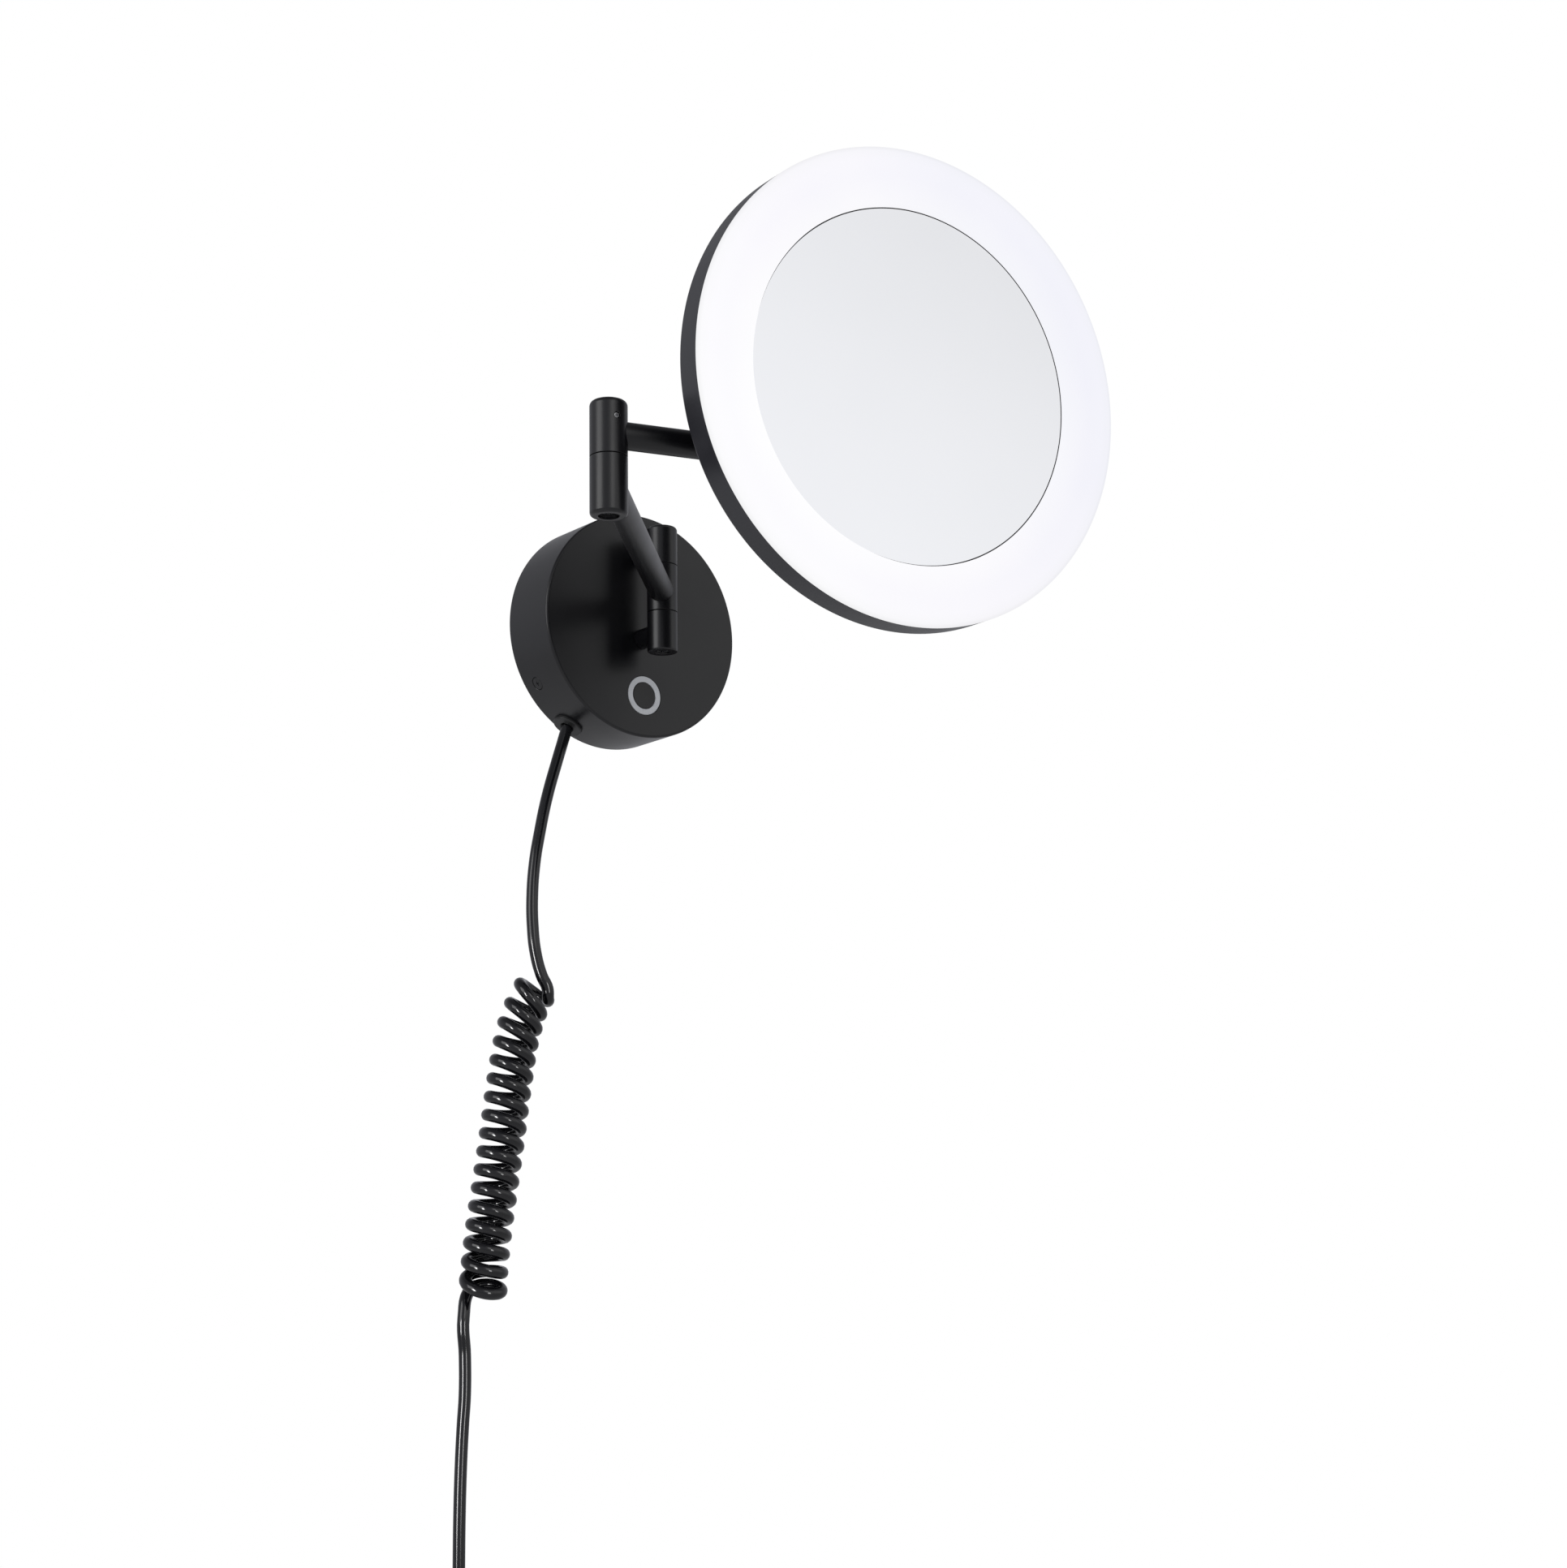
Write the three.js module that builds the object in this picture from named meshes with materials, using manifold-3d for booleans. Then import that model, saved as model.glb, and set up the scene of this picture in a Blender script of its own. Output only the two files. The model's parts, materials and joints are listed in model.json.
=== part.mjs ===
// Extendable shaving mirror: a round wall unit, two folding arms on friction
// knuckles and a round, lit mirror head, with a curly supply cord.
//
// Millimetres, +Z up. The origin is the centre of the flat back of the wall
// unit, the wall is the plane y = 0 and the mirror reaches out along -Y.

import * as THREE from 'three';
import { mergeVertices } from 'three/addons/utils/BufferGeometryUtils.js';
import Module from 'manifold-3d';

const wasm = await Module();
wasm.setup();

// ---------------------------------------------------------------- dimensions

const GAP = 0.3; // between pieces that touch
const DEG = Math.PI / 180;

// wall unit
const BASE_R = 51.5;
const BASE_DEPTH = 30.3;
const BASE_WALL = 2.4;
const BASE_EDGE = 1.2;
const PLATE_T = 2.5;
const PLATE_R = BASE_R - BASE_WALL - GAP;
const SIDE_SCREW_ANGLES = [90, 214, 326];
const SIDE_SCREW_DEPTH = 9.4;
const TOUCH_X = 1;
const TOUCH_Z = -32.3;
const TOUCH_PAD_R = 5.98;
const TOUCH_RING_IN = 6.28;
const TOUCH_RING_OUT = 9;
const GLAND_ANGLE = 241;
const GLAND_DEPTH = 7.5;
const GLAND_R = 6.8;
const GLAND_FACE = BASE_R + 1.3;

// knuckle on the wall unit, on a vertical axis
const WALL_AXIS_Y = -45.9;
const WALL_KNUCKLE_R = 6.82;
const WALL_KNUCKLE = { bottom: -15.8, seam1: 2.3, seam2: 24, top: 41.9 };
const POST_R = 4.5;
const POST_LOW_Z = -6.4;
const POST_HIGH_Z = 32.6;
const SEAM = 0.6;

// arms
const ARM_R = 5.53;
const ARM_BORE_R = 4.3;
const SPIGOT_R = 4;
const SPIGOT_LENGTH = 8;
const ARM_1_Z = 11.5;
const ARM_1_LENGTH = 163.2;
const ARM_1_HEADING = -133;
const ARM_2_Z = 30.5;
const ARM_2_LENGTH = 115.8;
const ARM_2_HEADING = -14;

// elbow and head knuckles
const ELBOW_R = 7.55;
const ELBOW = { bottom: -3.3, seam: 20.9, top: 43.9 };
const HEAD_KNUCKLE_R = 7;
const HEAD_KNUCKLE = { bottom: 23, seam: 39.5, top: 65 };
const PIN_R = 3.3;
const PIN_BORE_R = 3.6;
const PIN_HEAD_R = 4;
const PIN_RECESS_R = 4.3;
const TONGUE_HALF = 5.2;
const TONGUE_BOTTOM = 49.5;

// head
const TILT_Z = 57.8;
const HEAD_YAW = -7.8;
const HEAD_TILT = 2.8;
const HEAD_FRONT = 29.8; // pivot to the front edge of the rim
const HEAD_R = 99;
const HEAD_DEPTH = 14.2;
const HEAD_WALL = 2;
const GLASS_R = 73.4;
const GLASS_FRONT = -0.1;
const GLASS_T = 3;
const GLASS_CURVE = 1500; // radius of the magnifying curve
const DIFFUSER_IN = 74;
const DIFFUSER_EDGE = 0.9; // inner edge above the rim's front edge
const DIFFUSER_CREST_R = 86;
const DIFFUSER_CREST = 1.9;
const LED_COUNT = 24;
const LED_R = 85;
const TILT_BOLT_R = 2.5;
const YOKE_PLATE_R = 20;
const YOKE_PLATE_T = 2.6;
const YOKE_SCREWS = [[13.4, 9], [-13.4, 9], [-13.4, -9], [13.4, -9]];

// cord and plug
const CORD_R = 2.65;
const COIL_R = 9.95;
const CORD_UPPER_ROUTE = [
  [-25.5, -7.5, -46.1],
  [-28.2, -7.6, -54.2],
  [-31.2, -8.1, -62.4],
  [-37.2, -9.2, -79.6],
  [-42.0, -10.6, -96.5],
  [-45.5, -12.0, -110.8],
  [-47.6, -13.4, -126.0],
  [-48.1, -14.6, -139.0],
  [-47.3, -15.7, -150.9],
  [-44.9, -16.8, -160.7],
  [-43.2, -17.4, -165.2],
];
const COIL_AXIS = [
  [-46.0, -12.6, -168.0],
  [-48.9, -12.6, -172.2],
  [-54.6, -12.6, -187.4],
  [-58.9, -12.6, -210.0],
  [-62.0, -12.6, -230.6],
  [-65.3, -12.6, -250.9],
  [-68.5, -12.6, -270.6],
  [-70.8, -12.6, -290.5],
  [-71.0, -12.6, -297.5],
];
const CORD_LOWER_ROUTE = [
  [-77.5, -8.5, -297.9],
  [-77.9, -8.5, -306.5],
  [-77.1, -8.5, -322.0],
  [-77.0, -8.5, -338.0],
  [-77.8, -8.5, -350.0],
  [-78.6, -8.5, -366.0],
  [-79.1, -8.5, -386.0],
  [-79.2, -8.5, -407.0],
  [-79.2, -8.5, -438.0],
  [-79.2, -8.5, -470.0],
];
const PLUG_WIDTH = 35.3;
const PLUG_T = 13.7;
const PLUG_BODY_LENGTH = 37;
const PLUG_RELIEF_LENGTH = 22;
const PLUG_PIN_R = 2;
const PLUG_PIN_LENGTH = 19;
const PLUG_PIN_SPACING = 18.6;

// ----------------------------------------------------------------- materials

const finish = (color, roughness, metalness) => (
  new THREE.MeshStandardMaterial({ color, roughness, metalness })
);
const BLACK_METAL = finish(0x242528, 0.42, 0.2);
const DARK_RIM = finish(0x3a3c40, 0.45, 0.2);
const STEEL = finish(0xb8babd, 0.3, 1);
const ZINC_PLATE = finish(0x9a9c9f, 0.45, 1);
const BLACK_PLASTIC = finish(0x1c1c1e, 0.5, 0);
const WHITE_DIFFUSER = finish(0xf4f4fb, 0.35, 0);
const GREY_LIGHT_GUIDE = finish(0xb5b8bf, 0.4, 0);
const MIRROR = finish(0xe5eaed, 0.03, 1);
const CIRCUIT_BOARD = finish(0xe8ebe6, 0.5, 0);
const WHITE_PLASTIC = finish(0xe6e6e4, 0.5, 0);
const NYLON = finish(0x2b2b2d, 0.6, 0);
const RUBBER = finish(0x141416, 0.35, 0);

// ------------------------------------------------------------- solid helpers

function toSolid(geometry) {
  const bare = geometry.index ? geometry.toNonIndexed() : geometry.clone();
  bare.deleteAttribute('normal');
  bare.deleteAttribute('uv');
  const merged = mergeVertices(bare, 1e-4);
  return new wasm.Manifold(new wasm.Mesh({
    numProp: 3,
    vertProperties: new Float32Array(merged.attributes.position.array),
    triVerts: new Uint32Array(merged.index.array),
  }));
}

function toGeometry(solid) {
  const { vertProperties, triVerts, numProp } = solid.getMesh();
  const count = vertProperties.length / numProp;
  const positions = new Float32Array(count * 3);
  for (let i = 0; i < count; i += 1) {
    for (let axis = 0; axis < 3; axis += 1) {
      positions[i * 3 + axis] = vertProperties[i * numProp + axis];
    }
  }
  const geometry = new THREE.BufferGeometry();
  geometry.setAttribute('position', new THREE.BufferAttribute(positions, 3));
  geometry.setIndex(new THREE.BufferAttribute(new Uint32Array(triVerts), 1));
  return geometry;
}

const join = (...solids) => solids.reduce((whole, piece) => whole.add(piece));
const cut = (body, ...tools) => tools.reduce((whole, tool) => whole.subtract(tool), body);

// Turns geometry whose axis is +Z to point along `direction` from `origin`.
function aim(geometry, origin, direction) {
  const turn = new THREE.Quaternion().setFromUnitVectors(
    new THREE.Vector3(0, 0, 1),
    new THREE.Vector3(...direction).normalize(),
  );
  return geometry.applyQuaternion(turn).translate(...origin);
}

// A solid of revolution about +Z from [radius, height] points. The outline
// either starts and ends on the axis or returns to its first point.
function turned(outline, segments = 24) {
  const onAxis = outline[0][0] === 0 && outline[outline.length - 1][0] === 0;
  const closed = onAxis ? outline : [...outline, outline[0]];
  let area = 0;
  for (let i = 0; i < outline.length; i += 1) {
    const [r0, z0] = outline[i];
    const [r1, z1] = outline[(i + 1) % outline.length];
    area += r0 * z1 - r1 * z0;
  }
  const ordered = area > 0 ? closed : [...closed].reverse();
  const points = ordered.map(([r, z]) => new THREE.Vector2(r, z));
  return new THREE.LatheGeometry(points, segments).rotateX(Math.PI / 2);
}

// Outline points of a quarter round from angle a0 to a1 (degrees).
function arc(centreR, centreZ, radiusR, radiusZ, a0, a1, steps) {
  const points = [];
  for (let i = 0; i <= steps; i += 1) {
    const a = (a0 + ((a1 - a0) * i) / steps) * DEG;
    points.push([centreR + radiusR * Math.cos(a), centreZ + radiusZ * Math.sin(a)]);
  }
  return points;
}

function rod(radius, from, to, segments = 24) {
  return turned([[0, from], [radius, from], [radius, to], [0, to]], segments);
}

function ring(inner, outer, from, to, segments = 24) {
  return turned([[inner, from], [outer, from], [outer, to], [inner, to]], segments);
}

function box(width, depth, height, x = 0, y = 0, z = 0) {
  return new THREE.BoxGeometry(width, depth, height).translate(x, y, z);
}

function roundedPlate(width, height, corner, thickness) {
  const shape = new THREE.Shape();
  const w = width / 2;
  const h = height / 2;
  shape.moveTo(-w + corner, -h);
  shape.lineTo(w - corner, -h);
  shape.absarc(w - corner, -h + corner, corner, -Math.PI / 2, 0);
  shape.lineTo(w, h - corner);
  shape.absarc(w - corner, h - corner, corner, 0, Math.PI / 2);
  shape.lineTo(-w + corner, h);
  shape.absarc(-w + corner, h - corner, corner, Math.PI / 2, Math.PI);
  shape.lineTo(-w, -h + corner);
  shape.absarc(-w + corner, -h + corner, corner, Math.PI, 1.5 * Math.PI);
  return new THREE.ExtrudeGeometry(shape, {
    depth: thickness, bevelEnabled: false, curveSegments: 4,
  });
}

function hexPrism(acrossFlats, from, to) {
  return rod(acrossFlats / Math.sqrt(3), from, to, 6);
}

// A round tube along a smooth curve through the given points.
function tubeAlong(route, radius, sides, steps) {
  const section = new THREE.Shape();
  for (let i = 0; i < sides; i += 1) {
    const a = (i / sides) * 2 * Math.PI;
    const method = i === 0 ? 'moveTo' : 'lineTo';
    section[method](radius * Math.cos(a), radius * Math.sin(a));
  }
  section.closePath();
  const curve = new THREE.CatmullRomCurve3(route.map((p) => new THREE.Vector3(...p)));
  return new THREE.ExtrudeGeometry(section, { steps, extrudePath: curve, bevelEnabled: false });
}

function named(name, shape, material) {
  const geometry = shape.isBufferGeometry ? toGeometry(toSolid(shape)) : toGeometry(shape);
  const mesh = new THREE.Mesh(geometry, material);
  mesh.name = name;
  return mesh;
}

function group(...children) {
  const holder = new THREE.Group();
  holder.add(...children);
  return holder;
}

// ------------------------------------------------------------------- screws

// A countersunk screw pointing down -Z with the top of its head at z = 0.
function countersunkScrew(headR, shankR, length, headT = 1.7) {
  const body = toSolid(turned([
    [0, 0], [headR, 0], [headR, -0.4], [shankR, -headT], [shankR, -length], [0, -length],
  ], 12));
  const slotA = toSolid(box(headR * 1.1, headR * 0.24, 1.6));
  const slotB = toSolid(box(headR * 0.24, headR * 1.1, 1.6));
  return cut(body, slotA, slotB);
}

// The hole such a screw sits in, with a gap all round.
function countersunkHole(headR, shankR, length, headT = 1.7) {
  return turned([
    [0, 2], [headR + GAP, 2], [headR + GAP, -0.5], [shankR + GAP, -headT - 0.1],
    [shankR + GAP, -length], [0, -length],
  ], 12);
}

// A grub screw along +Z with a hexagon socket in its outer end.
function grubScrew(radius, length) {
  const socket = toSolid(rod(radius * 0.55, length - 1, length + 1, 6));
  return cut(toSolid(rod(radius, 0, length, 8)), socket);
}

// ---------------------------------------------------------------- wall unit
// Built lying flat: +Z is out from the wall, +Y is up.

const polar = (radius, degrees) => [
  radius * Math.cos(degrees * DEG),
  radius * Math.sin(degrees * DEG),
];

function wallPlate() {
  let plate = toSolid(rod(PLATE_R, 0, PLATE_T, 48));
  for (const angle of SIDE_SCREW_ANGLES) {
    const tab = box(3.6, 12, 15 - PLATE_T / 2, PLATE_R - 2.6, 0, (15 + PLATE_T / 2) / 2);
    const bore = aim(rod(1.8, 0, 20, 12), [PLATE_R - 12, 0, SIDE_SCREW_DEPTH], [1, 0, 0]);
    const limit = toSolid(rod(PLATE_R, 0, 16, 48).rotateZ(-angle * DEG));
    const post = cut(toSolid(tab).intersect(limit), toSolid(bore));
    plate = plate.add(toSolid(toGeometry(post).rotateZ(angle * DEG)));
  }
  for (const side of [-1, 1]) {
    const head = rod(4.4, -1, PLATE_T + 1, 16).translate(side * 34, -2, 0);
    const slot = box(5.2, 9, PLATE_T + 2, side * 34, 4, PLATE_T / 2);
    plate = cut(plate, toSolid(head), toSolid(slot));
  }
  return plate;
}

function baseHousing() {
  const inner = BASE_R - BASE_WALL;
  let cup = toSolid(turned([
    [0, BASE_DEPTH],
    ...arc(BASE_R - BASE_EDGE, BASE_DEPTH - BASE_EDGE, BASE_EDGE, BASE_EDGE, 90, 0, 2),
    [BASE_R, 0], [inner, 0], [inner, BASE_DEPTH - BASE_WALL], [0, BASE_DEPTH - BASE_WALL],
  ], 48));
  const touchHole = rod(TOUCH_RING_OUT + GAP, BASE_DEPTH - 5, BASE_DEPTH + 1, 28);
  cup = cut(cup, toSolid(touchHole.translate(TOUCH_X, TOUCH_Z, 0)));
  for (const z of [POST_LOW_Z, POST_HIGH_Z]) {
    const hole = rod(2.8, BASE_DEPTH - 5, BASE_DEPTH + 1, 14);
    cup = cut(cup, toSolid(hole.translate(0, z, 0)));
  }
  for (const angle of SIDE_SCREW_ANGLES) {
    const [x, y] = polar(1, angle);
    const hole = countersunkHole(2.9, 1.5, 9);
    const [px, py] = polar(BASE_R - 0.2, angle);
    cup = cut(cup, toSolid(aim(hole, [px, py, SIDE_SCREW_DEPTH], [x, y, 0])));
  }
  const [gx, gy] = polar(1, GLAND_ANGLE);
  const glandHole = rod(4.5, 40, 60, 16);
  return cut(cup, toSolid(aim(glandHole, [0, 0, GLAND_DEPTH], [gx, gy, 0])));
}

function sideScrews() {
  return SIDE_SCREW_ANGLES.map((angle, i) => {
    const screw = named(`housing_screw_${i + 1}`, countersunkScrew(2.9, 1.5, 8.4), BLACK_METAL);
    const [x, y] = polar(BASE_R - 0.2, angle);
    screw.geometry = aim(screw.geometry, [x, y, SIDE_SCREW_DEPTH], [x, y, 0]);
    return screw;
  });
}

function touchSwitch() {
  const front = BASE_DEPTH;
  const lightRing = named('touch_ring', ring(TOUCH_RING_IN, TOUCH_RING_OUT, front - 3, front, 28),
    GREY_LIGHT_GUIDE);
  const pad = named('touch_pad', rod(TOUCH_PAD_R, front - 2.8, front - 0.15, 24), BLACK_PLASTIC);
  let board = toSolid(roundedPlate(25, 21, 2, 1.6).translate(0, 0, front - 4.9));
  for (const [x, y] of [[-9, 7], [0, 8], [9, 7], [-9, -7], [9, -7]]) {
    board = board.add(toSolid(box(3, 2.4, 1.4, x, y, front - 5.4)));
  }
  const sensor = named('touch_board', board, CIRCUIT_BOARD);
  const holder = group(lightRing, pad, sensor);
  holder.position.set(TOUCH_X, TOUCH_Z, 0);
  return holder;
}

function ledDriver() {
  const shape = roundedPlate(54, 25, 2.5, 16).translate(0, 13.5, PLATE_T + GAP);
  return named('led_driver', shape, WHITE_PLASTIC);
}

function terminalBlock() {
  let block = toSolid(box(22, 11, 12, -6, -16.5, PLATE_T + GAP + 6));
  for (const x of [-13, -6, 1]) {
    const screwWell = rod(1.9, PLATE_T + 8, PLATE_T + 16, 12).translate(x, -14.5, 0);
    const wireEntry = aim(rod(1.6, 0, 6, 12), [x, -24, PLATE_T + 4], [0, 1, 0]);
    block = cut(block, toSolid(screwWell), toSolid(wireEntry));
  }
  return named('terminal_block', block, WHITE_PLASTIC);
}

function cordClamp() {
  const saddle = cut(
    toSolid(box(16, 6, 9, 0, 0, 4.5)),
    toSolid(aim(rod(3.1, -5, 5, 16), [0, 0, 4.7], [0, 1, 0])),
  );
  const clamp = named('cord_clamp', saddle, BLACK_PLASTIC);
  const [x, y] = polar(36, GLAND_ANGLE);
  clamp.position.set(x, y, PLATE_T + GAP);
  clamp.rotation.z = (GLAND_ANGLE + 90) * DEG;
  return clamp;
}

function cableGland() {
  const [x, y] = polar(1, GLAND_ANGLE);
  const flange = toSolid(aim(turned([
    [0, BASE_R - 2], [GLAND_R, BASE_R - 2], [GLAND_R, GLAND_FACE - 0.5],
    [GLAND_R - 0.5, GLAND_FACE], [0, GLAND_FACE],
  ], 24), [0, 0, GLAND_DEPTH], [x, y, 0]));
  const neck = toSolid(aim(rod(4.2, 44, GLAND_FACE - 0.4, 16), [0, 0, GLAND_DEPTH], [x, y, 0]));
  const cordMouth = toSolid(aim(rod(3.2, GLAND_FACE - 3, 60, 16), [0, 0, GLAND_DEPTH], [x, y, 0]));
  const housingSkin = toSolid(ring(46.5, BASE_R + GAP, -5, 40, 48));
  return named('cable_gland', cut(join(cut(flange, housingSkin), neck), cordMouth), BLACK_PLASTIC);
}

// The posts carry the wall knuckle; each is held by a nut inside the housing.
function posts() {
  const pieces = [];
  for (const [label, z] of [['lower', POST_LOW_Z], ['upper', POST_HIGH_Z]]) {
    const rodShape = join(
      toSolid(rod(POST_R, BASE_DEPTH + GAP, -WALL_AXIS_Y, 20)),
      toSolid(rod(2.5, BASE_DEPTH - 9, BASE_DEPTH + 2, 14)),
    );
    const knuckleSpace = aim(rod(WALL_KNUCKLE_R + GAP, -20, 20, 24), [0, 0, -WALL_AXIS_Y], [0, 1, 0]);
    const post = named(`post_${label}`, cut(rodShape, toSolid(knuckleSpace)), BLACK_METAL);
    const nutShape = cut(
      toSolid(hexPrism(8, BASE_DEPTH - BASE_WALL - 4.3, BASE_DEPTH - BASE_WALL - GAP)),
      toSolid(rod(2.8, 0, 40, 14)),
    );
    const nut = named(`post_nut_${label}`, nutShape, STEEL);
    post.position.y = z;
    nut.position.y = z;
    pieces.push(post, nut);
  }
  return pieces;
}

// ----------------------------------------------------------------- knuckles
// Built upright about their own vertical axis.

// A knuckle segment with its outer edges rounded where it ends in the open.
function segment(radius, bottom, top, roundBottom, roundTop) {
  const lower = roundBottom > 0
    ? arc(radius - roundBottom, bottom + roundBottom, roundBottom, roundBottom, -90, 0, 2)
    : [[radius, bottom]];
  const upper = roundTop > 0
    ? arc(radius - roundTop, top - roundTop, roundTop, roundTop, 0, 90, 2)
    : [[radius, top]];
  return toSolid(turned([[0, bottom], ...lower, ...upper, [0, top]], 24));
}

const bore = (radius, from, to) => toSolid(rod(radius, from, to, 16));

// A spigot from a knuckle's axis into the arm tube that starts there.
function spigot(knuckleR, z, heading) {
  const [x, y] = polar(1, heading);
  return toSolid(aim(rod(SPIGOT_R, knuckleR - 2, knuckleR + SPIGOT_LENGTH, 14), [0, 0, z], [x, y, 0]));
}

function seamWasher(name, seam, inner, outer) {
  return named(name, ring(inner, outer, seam - 0.8, seam, 16), NYLON);
}

// The pocket in the lower segment that the seam washer lies in.
function washerPocket(seam, outer) {
  return bore(outer + GAP, seam - 0.8 - GAP, seam + 1);
}

function wallKnuckle() {
  const { bottom, seam1, seam2, top } = WALL_KNUCKLE;
  const pinR = 3;
  const lower = cut(
    segment(WALL_KNUCKLE_R, bottom, seam1 - SEAM / 2, 0.7, 0),
    bore(pinR + GAP, bottom - 1, seam1 + 1),
    washerPocket(seam1, 5.6),
  );
  const upper = cut(
    segment(WALL_KNUCKLE_R, seam2 + SEAM / 2, top, 0, 1),
    bore(pinR + GAP, seam2 - 1, top - 3.5),
  );
  const pin = cut(
    bore(pinR, bottom + 0.6, top - 3.9),
    toSolid(hexPrism(3, bottom - 1, bottom + 3)),
  );
  const holder = group(
    named('wall_knuckle_lower', lower, BLACK_METAL),
    named('wall_knuckle_upper', upper, BLACK_METAL),
    named('wall_hinge_pin', pin, STEEL),
    seamWasher('wall_washer_lower', seam1, pinR + GAP, 5.6),
  );
  holder.position.y = WALL_AXIS_Y;
  return holder;
}

function wallKnuckleMiddle() {
  const { seam1, seam2 } = WALL_KNUCKLE;
  const shell = cut(
    join(
      segment(WALL_KNUCKLE_R, seam1 + SEAM / 2, seam2 - SEAM / 2, 0, 0),
      spigot(WALL_KNUCKLE_R, ARM_1_Z, ARM_1_HEADING),
    ),
    bore(4.8, seam1 - 1, seam2 + 1),
    washerPocket(seam2, 5.6),
  );
  const bushLength = (seam2 - seam1 - SEAM) / 2 - 1.6;
  const lowBush = ring(3.3, 4.5, seam1 + 0.5, seam1 + 0.5 + bushLength, 16);
  const highBush = ring(3.3, 4.5, seam2 - 1.5 - bushLength, seam2 - 1.5, 16);
  return [
    named('wall_knuckle_middle', shell, BLACK_METAL),
    named('wall_bush_lower', lowBush, NYLON),
    named('wall_bush_upper', highBush, NYLON),
    seamWasher('wall_washer_upper', seam2, 3.3, 5.6),
  ];
}

// A tube between two knuckles, coped to fit against both.
function armTube(name, length, startR, endR) {
  const clear = (radius, x) => toSolid(rod(radius + GAP, -20, 20, 24).translate(x, 0, 0));
  const tube = aim(ring(ARM_BORE_R, ARM_R, 2, length - 2, 20), [0, 0, 0], [1, 0, 0]);
  return named(name, cut(toSolid(tube), clear(startR, 0), clear(endR, length)), BLACK_METAL);
}

function elbowLower() {
  const { bottom, seam } = ELBOW;
  const shell = cut(
    join(
      segment(ELBOW_R, bottom, seam - SEAM / 2, 1.6, 0),
      spigot(ELBOW_R, ARM_1_Z, ARM_1_HEADING + 180),
    ),
    bore(PIN_BORE_R, bottom - 1, seam + 1),
    bore(PIN_RECESS_R, bottom - 1, bottom + 4.4),
    washerPocket(seam, 5.9),
  );
  return [
    named('elbow_lower', shell, BLACK_METAL),
    seamWasher('elbow_washer', seam, PIN_BORE_R, 5.9),
  ];
}

// A headed pin that hangs in the upper segment and turns in the lower one.
function hingePin(name, headBottom, headTop, top) {
  const pin = cut(
    join(bore(PIN_HEAD_R, headBottom, headTop), bore(PIN_R, headBottom, top)),
    toSolid(hexPrism(4, headBottom - 1, headBottom + 1.4)),
  );
  return named(name, pin, STEEL);
}

function setScrewHole(z, heading) {
  const [x, y] = polar(1, heading);
  return toSolid(aim(rod(1.4, 2, 10, 10), [0, 0, z], [x, y, 0]));
}

function setScrew(name, z, heading, outer) {
  const screw = named(name, grubScrew(1.1, outer - 0.6 - PIN_BORE_R), STEEL);
  const [x, y] = polar(1, heading);
  const [px, py] = polar(PIN_BORE_R, heading);
  screw.geometry = aim(screw.geometry, [px, py, z], [x, y, 0]);
  return screw;
}

function elbowUpper() {
  const { bottom, seam, top } = ELBOW;
  const screwZ = 36.2;
  const screwHeading = -97;
  const shell = cut(
    join(
      segment(ELBOW_R, seam + SEAM / 2, top, 0, 1.3),
      spigot(ELBOW_R, ARM_2_Z, ARM_2_HEADING),
    ),
    bore(PIN_BORE_R, seam - 1, top - 3.6),
    setScrewHole(screwZ, screwHeading),
  );
  return [
    named('elbow_upper', shell, BLACK_METAL),
    hingePin('elbow_pin', bottom + 1.8, bottom + 4.1, top - 3.9),
    setScrew('elbow_set_screw', screwZ, screwHeading, ELBOW_R),
  ];
}

function headKnuckleLower() {
  const { bottom, seam } = HEAD_KNUCKLE;
  const shell = cut(
    join(
      segment(HEAD_KNUCKLE_R, bottom, seam - SEAM / 2, 0.8, 0),
      spigot(HEAD_KNUCKLE_R, ARM_2_Z, ARM_2_HEADING + 180),
    ),
    bore(PIN_BORE_R, bottom - 1, seam + 1),
    bore(PIN_RECESS_R, bottom - 1, bottom + 2.7),
    washerPocket(seam, 5.5),
  );
  return [
    named('head_knuckle_lower', shell, BLACK_METAL),
    seamWasher('head_washer', seam, PIN_BORE_R, 5.5),
  ];
}

function headKnuckleUpper() {
  const { bottom, seam, top } = HEAD_KNUCKLE;
  const screwZ = 44.2;
  const pinTop = 47.5;
  const flat = (side) => toSolid(box(
    10, 30, top - TONGUE_BOTTOM + 10,
    side * (TONGUE_HALF + 5), 0, TONGUE_BOTTOM + (top - TONGUE_BOTTOM + 10) / 2,
  ));
  const boltBore = aim(rod(TILT_BOLT_R + GAP, -12, 12, 14), [0, 0, TILT_Z], [1, 0, 0]);
  const shell = cut(
    segment(HEAD_KNUCKLE_R, seam + SEAM / 2, top, 0, 1.2),
    flat(-1),
    flat(1),
    bore(PIN_BORE_R, seam - 1, pinTop + GAP),
    toSolid(boltBore),
    setScrewHole(screwZ, 90),
  );
  return [
    named('head_knuckle_upper', shell, BLACK_METAL),
    hingePin('head_swivel_pin', bottom + 0.5, bottom + 2.4, pinTop),
    setScrew('head_set_screw', screwZ, 90, HEAD_KNUCKLE_R),
  ];
}

// ---------------------------------------------------------------- tilt joint
// Origin on the tilt axis, +X along it, +Z out through the mirror.

const HEAD_BACK = HEAD_FRONT - HEAD_DEPTH;
const EAR_IN = TONGUE_HALF + GAP + 0.8 + GAP;
const EAR_T = 2.8;

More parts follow.
